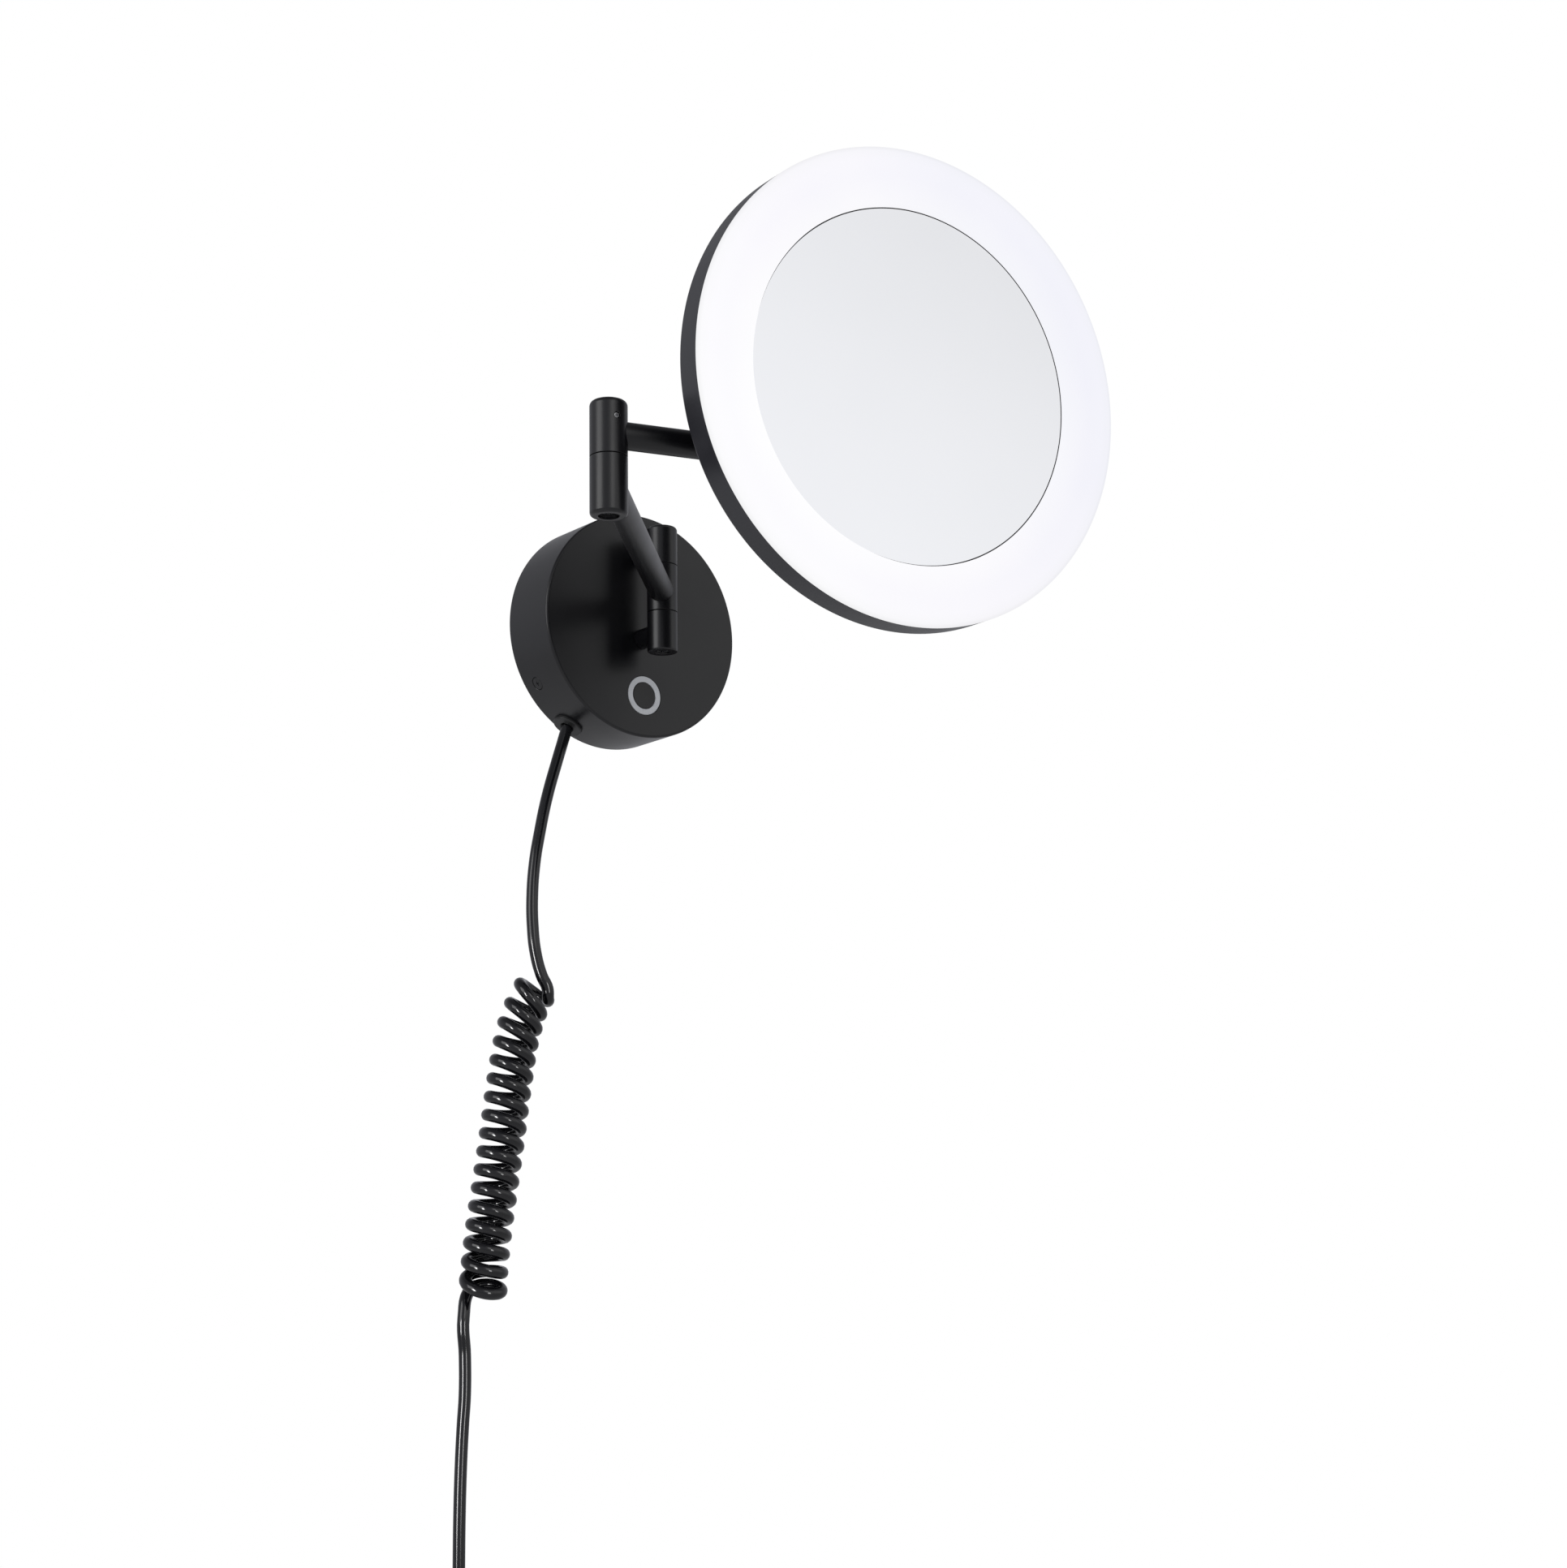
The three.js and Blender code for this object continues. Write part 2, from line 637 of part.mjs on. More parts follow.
function tiltYoke() {
  const plateTop = HEAD_BACK - GAP;
  const plateBottom = plateTop - YOKE_PLATE_T;
  let yoke = toSolid(turned([
    [0, plateBottom], [YOKE_PLATE_R - 1, plateBottom], [YOKE_PLATE_R, plateBottom + 1],
    [YOKE_PLATE_R, plateTop], [0, plateTop],
  ], 32));
  for (const side of [-1, 1]) {
    const outline = new THREE.Shape();
    outline.moveTo(0, -6);
    outline.absarc(0, 0, 6, -Math.PI / 2, Math.PI / 2, true);
    outline.lineTo(plateBottom + 1, 9);
    outline.lineTo(plateBottom + 1, -9);
    const ear = new THREE.ExtrudeGeometry(outline, {
      depth: EAR_T, bevelEnabled: false, curveSegments: 8,
    });
    // the outline's x runs out along +Z and its thickness runs along X
    const basis = new THREE.Matrix4().makeBasis(
      new THREE.Vector3(0, 0, 1), new THREE.Vector3(0, -1, 0), new THREE.Vector3(1, 0, 0),
    );
    ear.applyMatrix4(basis);
    ear.translate(side > 0 ? EAR_IN : -EAR_IN - EAR_T, 0, 0);
    yoke = yoke.add(toSolid(ear));
  }
  yoke = cut(yoke, toSolid(aim(rod(TILT_BOLT_R + GAP, -20, 20, 14), [0, 0, 0], [1, 0, 0])));
  for (const [x, y] of YOKE_SCREWS) {
    const hole = countersunkHole(2.6, 1.5, 9, 1.6).rotateX(Math.PI);
    yoke = cut(yoke, toSolid(hole.translate(x, y, plateBottom)));
  }
  return named('tilt_yoke', yoke, BLACK_METAL);
}

function tiltFasteners() {
  const outer = EAR_IN + EAR_T + GAP;
  const bolt = cut(
    join(
      toSolid(turned([[0, outer], [4.2, outer], [4.2, outer + 1.6], [3.4, outer + 2.4], [0, outer + 2.4]], 16)),
      toSolid(rod(TILT_BOLT_R, -outer - 3.6, outer + 1, 14)),
    ),
    toSolid(hexPrism(2.6, outer + 1, outer + 4)),
  );
  const nut = cut(
    toSolid(hexPrism(7, -outer - 3, -outer)),
    toSolid(rod(TILT_BOLT_R + GAP, -20, 0, 14)),
  );
  const washer = (side) => {
    const near = TONGUE_HALF + GAP;
    const shape = ring(TILT_BOLT_R + GAP, 5, near, near + 0.8, 16);
    return aim(shape, [0, 0, 0], [side, 0, 0]);
  };
  const along = (solid) => aim(toGeometry(solid), [0, 0, 0], [1, 0, 0]);
  const pieces = [
    named('tilt_bolt', along(bolt), STEEL),
    named('tilt_nut', along(nut), STEEL),
    named('tilt_washer_left', washer(-1), NYLON),
    named('tilt_washer_right', washer(1), NYLON),
  ];
  YOKE_SCREWS.forEach(([x, y], i) => {
    const screw = named(`yoke_screw_${i + 1}`, countersunkScrew(2.6, 1.5, 7.4, 1.6), STEEL);
    screw.rotation.x = Math.PI;
    screw.position.set(x, y, HEAD_BACK - GAP - YOKE_PLATE_T + 0.1);
    pieces.push(screw);
  });
  return pieces;
}

// ---------------------------------------------------------------------- head
// Origin at the centre of the rim's front edge, +Z out through the mirror.

function headHousing() {
  const inner = HEAD_R - HEAD_WALL;
  const back = -HEAD_DEPTH;
  let cup = toSolid(turned([
    [0, back],
    ...arc(HEAD_R - 2, back + 2, 2, 2, -90, 0, 2),
    [HEAD_R, -0.3], [HEAD_R - 0.3, 0], [inner, 0], [inner, back + HEAD_WALL], [0, back + HEAD_WALL],
  ], 48));
  for (const [x, y] of YOKE_SCREWS) {
    const boss = rod(3.6, back + 1, back + 6.4, 12).translate(x, y, 0);
    const hole = rod(1.8, back - 1, back + 5.4, 10).translate(x, y, 0);
    cup = cut(join(cup, toSolid(boss)), toSolid(hole));
  }
  return named('head_housing', cup, DARK_RIM);
}

function reflectorTray() {
  return named('reflector_tray', turned([
    [75.2, -10.4], [93.7, -10.4], [93.7, -6], [96.6, -6], [96.6, -4.8], [92.5, -4.8],
    [92.5, -9.2], [76.4, -9.2], [76.4, -2.2], [75.2, -2.2],
  ], 40), WHITE_PLASTIC);
}

function ledBoard() {
  let board = toSolid(ring(78, 91.6, -8.8, -7.6, 40));
  for (let i = 0; i < LED_COUNT; i += 1) {
    const chip = box(3, 3, 1.2, LED_R, 0, -7.2).rotateZ((i / LED_COUNT) * 2 * Math.PI);
    board = board.add(toSolid(chip));
  }
  return named('led_board', board, CIRCUIT_BOARD);
}

function diffuserRing() {
  const under = -1;
  return named('diffuser_ring', turned([
    [DIFFUSER_IN, under], [DIFFUSER_IN, DIFFUSER_EDGE], [DIFFUSER_CREST_R - 6, DIFFUSER_CREST - 0.3],
    [DIFFUSER_CREST_R, DIFFUSER_CREST], [DIFFUSER_CREST_R + 5, DIFFUSER_CREST - 0.25],
    [HEAD_R - 2.6, 1.15], [HEAD_R - 0.7, 0.75], [HEAD_R, GAP],
    [96.6, GAP], [96.6, -3], [94.6, -3], [94.6, under],
  ], 48), WHITE_DIFFUSER);
}

// Height of the mirror's front above the front edge at a radius.
function glassFront(radius) {
  return GLASS_FRONT - (GLASS_R ** 2 - radius ** 2) / (2 * GLASS_CURVE);
}

function mirrorGlass() {
  const steps = 2;
  const front = [];
  const back = [];
  for (let i = 0; i <= steps; i += 1) {
    const r = (GLASS_R * i) / steps;
    front.push([r, glassFront(r)]);
    back.unshift([r, glassFront(r) - GLASS_T]);
  }
  return named('mirror_glass', turned([...front, ...back], 48), MIRROR);
}

function mirrorCarrier() {
  return named('mirror_carrier', turned([
    [0, -7.4], [74.8, -7.4], [74.8, -3.6], [70, -3.6], [70, -5.5], [0, -5.5],
  ], 40), BLACK_PLASTIC);
}

function rimSeal() {
  return named('rim_seal', ring(94.9, 96.3, -4.5, -3.3, 40), RUBBER);
}

// --------------------------------------------------------------- cord, plug

function plugBody() {
  const [x, y, top] = CORD_LOWER_ROUTE[CORD_LOWER_ROUTE.length - 1];
  const reliefTop = top + 3;
  const bodyTop = reliefTop - PLUG_RELIEF_LENGTH;
  const face = bodyTop - PLUG_BODY_LENGTH;
  const half = PLUG_WIDTH / 2;
  const outline = new THREE.Shape();
  outline.moveTo(-half, face);
  outline.lineTo(half, face);
  outline.lineTo(half, face + 16);
  outline.bezierCurveTo(half, face + 28, 8, bodyTop - 6, 5.2, bodyTop);
  outline.lineTo(-5.2, bodyTop);
  outline.bezierCurveTo(-8, bodyTop - 6, -half, face + 28, -half, face + 16);
  outline.closePath();
  const bevel = 2;
  const slab = new THREE.ExtrudeGeometry(outline, {
    depth: PLUG_T - 2 * bevel, curveSegments: 8,
    bevelEnabled: true, bevelThickness: bevel, bevelSize: bevel, bevelOffset: -bevel, bevelSegments: 2,
  });
  slab.rotateX(Math.PI / 2).translate(0, PLUG_T / 2 - bevel, 0);
  const relief = turned([
    [0, bodyTop - 4], [5, bodyTop - 4], [5, bodyTop], [3.9, reliefTop], [0, reliefTop],
  ], 16);
  const mouth = rod(CORD_R + 0.4, top - GAP, reliefTop + 1, 14);
  const body = cut(join(toSolid(slab), toSolid(relief)), toSolid(mouth));
  const plug = named('plug_body', body, BLACK_PLASTIC);
  const pins = [-1, 1].map((side) => {
    const pin = turned([
      [0, face - GAP], [PLUG_PIN_R, face - GAP], [PLUG_PIN_R, face - PLUG_PIN_LENGTH + 1.6],
      [PLUG_PIN_R - 0.9, face - PLUG_PIN_LENGTH], [0, face - PLUG_PIN_LENGTH],
    ], 12).translate((side * PLUG_PIN_SPACING) / 2, 0, 0);
    return named(side < 0 ? 'plug_pin_left' : 'plug_pin_right', pin, STEEL);
  });
  const holder = group(plug, ...pins);
  holder.position.set(x, y, 0);
  return holder;
}

function cord() {
  return group(
    named('cord_upper', tubeAlong(CORD_UPPER_ROUTE, CORD_R, 8, 14), RUBBER),
    named('cord_coil', tubeAlong(COIL_AXIS, COIL_R, 12, 10), RUBBER),
    named('cord_lower', tubeAlong(CORD_LOWER_ROUTE, CORD_R, 8, 14), RUBBER),
    plugBody(),
  );
}

// ------------------------------------------------------------------ assembly

function wallUnit() {
  const unit = group(
    named('wall_plate', wallPlate(), ZINC_PLATE),
    named('base_housing', baseHousing(), BLACK_METAL),
    ...sideScrews(),
    touchSwitch(),
    ledDriver(),
    terminalBlock(),
    cordClamp(),
    cableGland(),
    ...posts(),
  );
  unit.rotation.x = Math.PI / 2;
  return unit;
}

function arm1() {
  const knuckle = group(...wallKnuckleMiddle());
  knuckle.position.y = WALL_AXIS_Y;
  const tube = armTube('arm_1_tube', ARM_1_LENGTH, WALL_KNUCKLE_R, ELBOW_R);
  tube.position.set(0, WALL_AXIS_Y, ARM_1_Z);
  tube.rotation.z = ARM_1_HEADING * DEG;
  const elbow = group(...elbowLower());
  elbow.position.set(elbowX, elbowY, 0);
  return group(knuckle, tube, elbow);
}

function arm2() {
  const elbow = group(...elbowUpper());
  elbow.position.set(elbowX, elbowY, 0);
  const tube = armTube('arm_2_tube', ARM_2_LENGTH, ELBOW_R, HEAD_KNUCKLE_R);
  tube.position.set(elbowX, elbowY, ARM_2_Z);
  tube.rotation.z = ARM_2_HEADING * DEG;
  const knuckle = group(...headKnuckleLower());
  knuckle.position.set(swivelX, swivelY, 0);
  return group(elbow, tube, knuckle);
}

function mirrorHead() {
  const head = group(
    headHousing(), reflectorTray(), ledBoard(), rimSeal(), diffuserRing(),
    mirrorCarrier(), mirrorGlass(),
  );
  head.position.z = HEAD_FRONT;
  const tilting = group(tiltYoke(), ...tiltFasteners(), head);
  tilting.position.z = TILT_Z;
  tilting.rotation.x = (90 + HEAD_TILT) * DEG;
  const swivelling = group(...headKnuckleUpper(), tilting);
  swivelling.position.set(swivelX, swivelY, 0);
  swivelling.rotation.z = HEAD_YAW * DEG;
  return swivelling;
}

const [arm1X, arm1Y] = polar(ARM_1_LENGTH, ARM_1_HEADING);
const elbowX = arm1X;
const elbowY = WALL_AXIS_Y + arm1Y;
const [arm2X, arm2Y] = polar(ARM_2_LENGTH, ARM_2_HEADING);
const swivelX = elbowX + arm2X;
const swivelY = elbowY + arm2Y;

export default group(wallUnit(), wallKnuckle(), arm1(), arm2(), mirrorHead(), cord());
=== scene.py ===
"""Extendable shaving mirror: the visual model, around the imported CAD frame.

Row frame in metres: +Z up, the wall is the plane y = 0, the mirror reaches
out along -Y. Shapes are built in millimetres and scaled where they are placed.
"""

import json
import math

import bmesh
import bpy
from mathutils import Matrix, Vector


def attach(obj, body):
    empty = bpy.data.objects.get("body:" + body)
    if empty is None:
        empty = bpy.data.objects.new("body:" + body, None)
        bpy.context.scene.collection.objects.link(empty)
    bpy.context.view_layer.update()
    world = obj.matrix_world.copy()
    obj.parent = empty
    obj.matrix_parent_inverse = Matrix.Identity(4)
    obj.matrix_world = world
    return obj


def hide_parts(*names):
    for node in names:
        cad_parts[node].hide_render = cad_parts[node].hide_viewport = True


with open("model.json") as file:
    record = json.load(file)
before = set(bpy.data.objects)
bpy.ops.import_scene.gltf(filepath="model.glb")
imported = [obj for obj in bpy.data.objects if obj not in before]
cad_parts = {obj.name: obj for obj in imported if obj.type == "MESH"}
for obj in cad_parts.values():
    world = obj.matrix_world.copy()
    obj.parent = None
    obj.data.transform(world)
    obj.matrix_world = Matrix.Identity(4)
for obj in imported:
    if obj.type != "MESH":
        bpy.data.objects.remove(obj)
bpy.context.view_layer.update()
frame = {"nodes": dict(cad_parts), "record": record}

scene = bpy.context.scene
MM = 0.001
UP = (0, 0, 1)
FIT = 0.04  # between faces that lie against each other

SLOT = {row["node"]: row["material_slot"] for row in frame["record"]["subparts"]}
BODY = {
    node: body
    for body, nodes in frame["record"]["behaviour"]["bodies"].items()
    for node in nodes
}
JOINT = {joint["name"]: joint for joint in frame["record"]["behaviour"]["joints"]}


def joint_at(name):
    """Where a joint is, in millimetres."""
    return Vector(JOINT[name]["pos_m"]) / MM


# -------------------------------------------------------------------- camera

LENS = 63.98
CAMERA_AT = (-0.70403, -1.02389, -0.32979)
CAMERA_RIGHT = (0.78706795, -0.6166676, -0.0156561)
CAMERA_UP = (-0.11484331, -0.17141925, 0.97848171)
CAMERA_AHEAD = (0.60608173, 0.76833359, 0.20573875)


def add_camera():
    data = bpy.data.cameras.new("camera")
    data.lens = LENS
    data.sensor_width = 36.0
    data.clip_start = 0.05
    camera = bpy.data.objects.new("camera", data)
    scene.collection.objects.link(camera)
    back = -Vector(CAMERA_AHEAD)
    turn = Matrix((CAMERA_RIGHT, CAMERA_UP, back)).transposed()
    camera.matrix_world = Matrix.Translation(CAMERA_AT) @ turn.to_4x4()
    scene.camera = camera


add_camera()

# ------------------------------------------------------------------- helpers


def polar(radius, degrees):
    angle = math.radians(degrees)
    return radius * math.cos(angle), radius * math.sin(angle)


def heading(degrees):
    """The horizontal direction at an angle from +X towards +Y."""
    return Vector((*polar(1, degrees), 0))


def aim(origin, direction, across=None):
    """A matrix whose +Z points along direction, with +X towards across."""
    z = Vector(direction).normalized()
    if across is None:
        across = UP if abs(z.z) < 0.9 else (1, 0, 0)
    x = Vector(across)
    x = (x - z * x.dot(z)).normalized()
    matrix = Matrix((x, z.cross(x), z)).transposed().to_4x4()
    matrix.translation = Vector(origin)
    return matrix


def to_mesh(bm):
    bmesh.ops.remove_doubles(bm, verts=bm.verts, dist=1e-5)
    bmesh.ops.recalc_face_normals(bm, faces=bm.faces)
    mesh = bpy.data.meshes.new("shape")
    bm.to_mesh(mesh)
    bm.free()
    return mesh


def softened(corners, steps=6):
    """An outline with its corners rounded; a corner is (r, z) or (r, z, radius)."""
    on_axis = corners[0][0] == 0 and corners[-1][0] == 0
    count = len(corners)
    outline = []
    for i, corner in enumerate(corners):
        point = Vector(corner[:2])
        radius = corner[2] if len(corner) > 2 else 0
        if not radius or (on_axis and i in (0, count - 1)):
            outline.append(tuple(point))
            continue
        before = Vector(corners[i - 1][:2]) - point
        after = Vector(corners[(i + 1) % count][:2]) - point
        half = before.angle(after) / 2
        reach = min(radius / math.tan(half), before.length * 0.5, after.length * 0.5)
        before.normalize()
        after.normalize()
        radius = reach * math.tan(half)
        centre = point + (before + after).normalized() * (radius / math.sin(half))
        start = point + before * reach - centre
        end = point + after * reach - centre
        first = math.atan2(start.y, start.x)
        sweep = math.atan2(end.y, end.x) - first
        sweep = (sweep + math.pi) % (2 * math.pi) - math.pi
        for k in range(steps + 1):
            angle = first + sweep * k / steps
            outline.append((
                centre.x + radius * math.cos(angle),
                centre.y + radius * math.sin(angle),
            ))
    return outline


def lathe(corners, sides=96, steps=6):
    """A closed solid of revolution about +Z, from an outline of corners."""
    outline = softened(corners, steps)
    on_axis = corners[0][0] == 0 and corners[-1][0] == 0
    bm = bmesh.new()
    rings = []
    for radius, z in outline:
        if radius < 1e-6:
            rings.append([bm.verts.new((0, 0, z))])
            continue
        rings.append([
            bm.verts.new((*polar(radius, 360 * i / sides), z)) for i in range(sides)
        ])
    pairs = list(zip(rings, rings[1:]))
    if not on_axis:
        pairs.append((rings[-1], rings[0]))
    for low, high in pairs:
        for i in range(sides):
            j = (i + 1) % sides
            loop = [
                low[i % len(low)], low[j % len(low)],
                high[j % len(high)], high[i % len(high)],
            ]
            loop = list(dict.fromkeys(loop))
            if len(loop) > 2:
                bm.faces.new(loop)
    return to_mesh(bm)


def prism(points, low, high, bevel=0.0):
    """An upright prism on a closed outline of (x, y) points."""
    bm = bmesh.new()
    base = [bm.verts.new((x, y, low)) for x, y in points]
    top = [bm.verts.new((x, y, high)) for x, y in points]
    bm.faces.new(base[::-1])
    bm.faces.new(top)
    count = len(points)
    for i in range(count):
        j = (i + 1) % count
        bm.faces.new((base[i], base[j], top[j], top[i]))
    if bevel:
        rims = [
            edge for edge in bm.edges
            if abs(edge.verts[0].co.z - edge.verts[1].co.z) < 1e-6
        ]
        bmesh.ops.bevel(
            bm, geom=rims, offset=bevel, segments=3, profile=0.5, affect="EDGES",
        )
    return to_mesh(bm)


def block(width, depth, height, centre=(0, 0, 0)):
    w, d = width / 2, depth / 2
    corners = [(-w, -d), (w, -d), (w, d), (-w, d)]
    shape = prism(corners, -height / 2, height / 2)
    return moved(shape, Matrix.Translation(centre))


def moved(mesh, matrix):
    mesh.transform(matrix)
    return mesh


def combined(body, tools, operation):
    """The body with the tools joined to it or cut from it."""
    made = []
    for mesh in (body, *tools):
        obj = bpy.data.objects.new("tool", mesh)
        scene.collection.objects.link(obj)
        made.append(obj)
    for tool in made[1:]:
        step = made[0].modifiers.new("step", "BOOLEAN")
        step.operation = operation
        step.solver = "EXACT"
        step.object = tool
    graph = bpy.context.evaluated_depsgraph_get()
    result = bpy.data.meshes.new_from_object(made[0].evaluated_get(graph))
    for obj in made:
        mesh = obj.data
        bpy.data.objects.remove(obj)
        bpy.data.meshes.remove(mesh)
    return result


def cut(body, *tools):
    return combined(body, tools, "DIFFERENCE")


def joined(body, *tools):
    return combined(body, tools, "UNION")


def hole(radius, low, high, flare=0.25, sides=48):
    """A cutter for a round hole whose mouth, at high, is slightly flared."""
    return lathe([
        (0, low), (radius, low), (radius, high - flare),
        (radius + flare, high), (radius + flare, high + 2), (0, high + 2),
    ], sides)


def hexagon(across_flats, low, high):
    radius = across_flats / math.sqrt(3)
    return lathe([(0, low), (radius, low), (radius, high), (0, high)], 6)


def cross_recess(radius, top, depth):
    """The two cutters, one across the other, for a tapered cross slot."""
    cutters = []
    for turn in (0, 90):
        bm = bmesh.new()
        rows = []
        for reach, half, z in (
            (radius, radius * 0.16, top + 1), (radius * 0.45, radius * 0.112, top - depth),
        ):
            corners = [(-reach, -half), (reach, -half), (reach, half), (-reach, half)]
            rows.append([bm.verts.new((x, y, z)) for x, y in corners])
        high, low = rows
        bm.faces.new(high)
        bm.faces.new(low[::-1])
        for i in range(4):
            j = (i + 1) % 4
            bm.faces.new((high[j], high[i], low[i], low[j]))
        cutters.append(moved(to_mesh(bm), Matrix.Rotation(math.radians(turn), 4, "Z")))
    return cutters


# ----------------------------------------------------------------- materials


def feed(tree, socket, value):
    """Links a socket to another node's output, or gives it a plain value."""
    if isinstance(value, bpy.types.NodeSocket):
        tree.links.new(value, socket)
    else:
        socket.default_value = value


def add_node(tree, kind, settings=None, **inputs):
    made = tree.nodes.new("ShaderNode" + kind)
    for name, value in (settings or {}).items():
        setattr(made, name, value)
    for name, value in inputs.items():
        feed(tree, made.inputs[name.replace("_", " ")], value)
    return made


def worked_out(tree, kind, operation, *values):
    """A Math or VectorMath node on values, with whichever output it fills."""
    made = add_node(tree, kind, {"operation": operation})
    for socket, value in zip(made.inputs, values):
        feed(tree, socket, value)
    return next(output for output in made.outputs if output.enabled)


def spread(tree, value, low, high, to_low=0.0, to_high=1.0):
    """A value's place between low and high, as a place between two others."""
    return add_node(
        tree, "MapRange", Value=value, From_Min=low, From_Max=high,
        To_Min=to_low, To_Max=to_high,
    ).outputs["Result"]


def mixed(tree, factor, a, b, blend="MIX"):
    made = add_node(tree, "Mix", {"data_type": "RGBA", "blend_type": blend})
    for index, value in ((0, factor), (6, a), (7, b)):
        feed(tree, made.inputs[index], value)
    return made.outputs[2]


def ramp(tree, factor, stops):
    """A colour ramp through (position, (r, g, b)) stops."""
    made = add_node(tree, "ValToRGB", Fac=factor)
    elements = made.color_ramp.elements
    while len(elements) < len(stops):
        elements.new(0.5)
    for element, (position, colour) in zip(elements, stops):
        element.position = position
        element.color = (*colour, 1)
    return made.outputs["Color"]


def finish(
    name, dark, light, roughness, metallic=0.0, patch=45.0, grain=2600.0,
    depth=0.00002, stretch=(1, 1, 1), glow=0.0,
):
    """A surface with faint patches of shade and gloss and a fine grain."""
    material = bpy.data.materials.new(name)
    material.use_nodes = True
    tree = material.node_tree
    tree.nodes.clear()
    coords = add_node(tree, "TexCoord").outputs["Object"]
    stretched = add_node(tree, "Mapping", Vector=coords, Scale=stretch).outputs["Vector"]
    patches = add_node(tree, "TexNoise", Vector=stretched, Scale=patch, Detail=3.0)
    colour = ramp(tree, patches.outputs["Fac"], [(0.35, dark), (0.65, light)])
    gloss = spread(tree, patches.outputs["Fac"], 0.3, 0.7, *roughness)
    fine = add_node(tree, "TexNoise", Vector=stretched, Scale=grain, Detail=2.0)
    bump = add_node(
        tree, "Bump", Height=fine.outputs["Fac"], Strength=0.6, Distance=depth,
    )
    shader = add_node(
        tree, "BsdfPrincipled", Base_Color=colour, Metallic=metallic,
        Roughness=gloss, Normal=bump.outputs["Normal"],
        Emission_Color=(1, 1, 1, 1), Emission_Strength=glow,
    )
    output = add_node(tree, "OutputMaterial")
    tree.links.new(shader.outputs["BSDF"], output.inputs["Surface"])
    return material


def grey(value, tint=0.0):
    return (value, value, value * (1 + tint))


MATERIAL = {
    "black_metal": finish(
        "black_metal", grey(0.0030, 0.35), grey(0.0042, 0.35), (0.29, 0.35),
        grain=2400.0, depth=0.000018,
    ),
    "head_shell": finish(
        "head_shell", grey(0.0165, 0.28), grey(0.0195, 0.28), (0.33, 0.40),
        grain=2400.0, depth=0.000018,
    ),
    "steel": finish(
        "steel", grey(0.42, 0.02), grey(0.52, 0.02), (0.20, 0.32), metallic=1.0,
        patch=90.0, grain=1500.0, depth=0.000008, stretch=(1, 1, 12),
    ),
    "zinc_plate": finish(
        "zinc_plate", grey(0.44, 0.04), grey(0.50, 0.03), (0.34, 0.42), metallic=1.0,
        patch=170.0, grain=900.0, depth=0.00001,
    ),
    "black_plastic": finish(
        "black_plastic", grey(0.010, 0.05), grey(0.014, 0.05), (0.38, 0.46),
        patch=60.0, grain=1800.0, depth=0.00003,
    ),
    "light_guide": finish(
        "light_guide", (0.66, 0.68, 0.70), (0.72, 0.74, 0.76), (0.34, 0.42),
        patch=120.0, grain=2500.0, depth=0.00001,
    ),
    "circuit_board": finish(
        "circuit_board", (0.70, 0.74, 0.69), (0.80, 0.83, 0.79), (0.35, 0.5),
        patch=150.0, grain=2500.0, depth=0.00001,
    ),
    "white_plastic": finish(
        "white_plastic", (0.74, 0.74, 0.71), (0.81, 0.81, 0.79), (0.40, 0.50),
        patch=40.0, grain=1800.0, depth=0.00002,
    ),
    "nylon": finish(
        "nylon", grey(0.012), grey(0.018), (0.5, 0.6), patch=80.0,
    ),
    "cord_rubber": finish(
        "cord_rubber", grey(0.0025, 0.3), grey(0.0040, 0.3), (0.11, 0.15),
        patch=35.0, grain=600.0, depth=0.000002,
    ),
}

# --------------------------------------------------------------------- pieces


def dressed(obj, node, material=None):
    """Gives a visible piece its finish, and puts it in the place of its CAD node."""
    slot = SLOT[node]
    obj.data.materials.clear()
    obj.data.materials.append(material or MATERIAL[slot])
    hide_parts(node)
    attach(obj, BODY[node])
    return obj


def refine(node, mesh, placement=Matrix(), sharp=32):
    """A detailed piece from a mesh in millimetres, in place of a CAD node."""
    mesh.transform(Matrix.Scale(MM, 4) @ placement)
    mesh.name = node + "_fine"
    obj = bpy.data.objects.new(node + "_fine", mesh)
    scene.collection.objects.link(obj)
    mesh.polygons.foreach_set("use_smooth", [True] * len(mesh.polygons))
    mesh.set_sharp_from_angle(angle=math.radians(sharp))
    normals = obj.modifiers.new("normals", "WEIGHTED_NORMAL")
    normals.keep_sharp = True
    normals.weight = 80
    return dressed(obj, node)


# ---------------------------------------------------------------- supply cord

CORD_D = 5.3
CORD_UPPER_ROUTE = [
    (-25.5, -7.5, -46.1), (-28.2, -7.6, -54.2), (-31.2, -8.1, -62.4),
    (-37.2, -9.2, -79.6), (-42.0, -10.6, -96.5), (-45.5, -12.0, -110.8),
    (-47.6, -13.4, -126.0), (-48.1, -14.6, -139.0), (-47.3, -15.7, -150.9),
    (-44.9, -16.8, -160.7), (-42.4, -17.7, -166.4),
]
COIL_AXIS = [
    (-46.0, -168.0), (-48.9, -172.2), (-54.6, -187.4), (-58.9, -210.0),
    (-62.0, -230.6), (-65.3, -250.9), (-68.5, -270.6), (-70.8, -290.5),
    (-71.0, -297.5),
]
CORD_LOWER_ROUTE = [
    (-77.9, -8.5, -306.5), (-77.1, -8.5, -322.0), (-77.0, -8.5, -338.0),
    (-77.8, -8.5, -350.0), (-78.6, -8.5, -366.0), (-79.1, -8.5, -386.0),
    (-79.2, -8.5, -407.0), (-79.2, -8.5, -438.0), (-79.2, -8.5, -470.0),
]
COIL_Y = -12.6
COIL_TOP = -165.2
COIL_PITCH = 7.63
COIL_R = 7.4
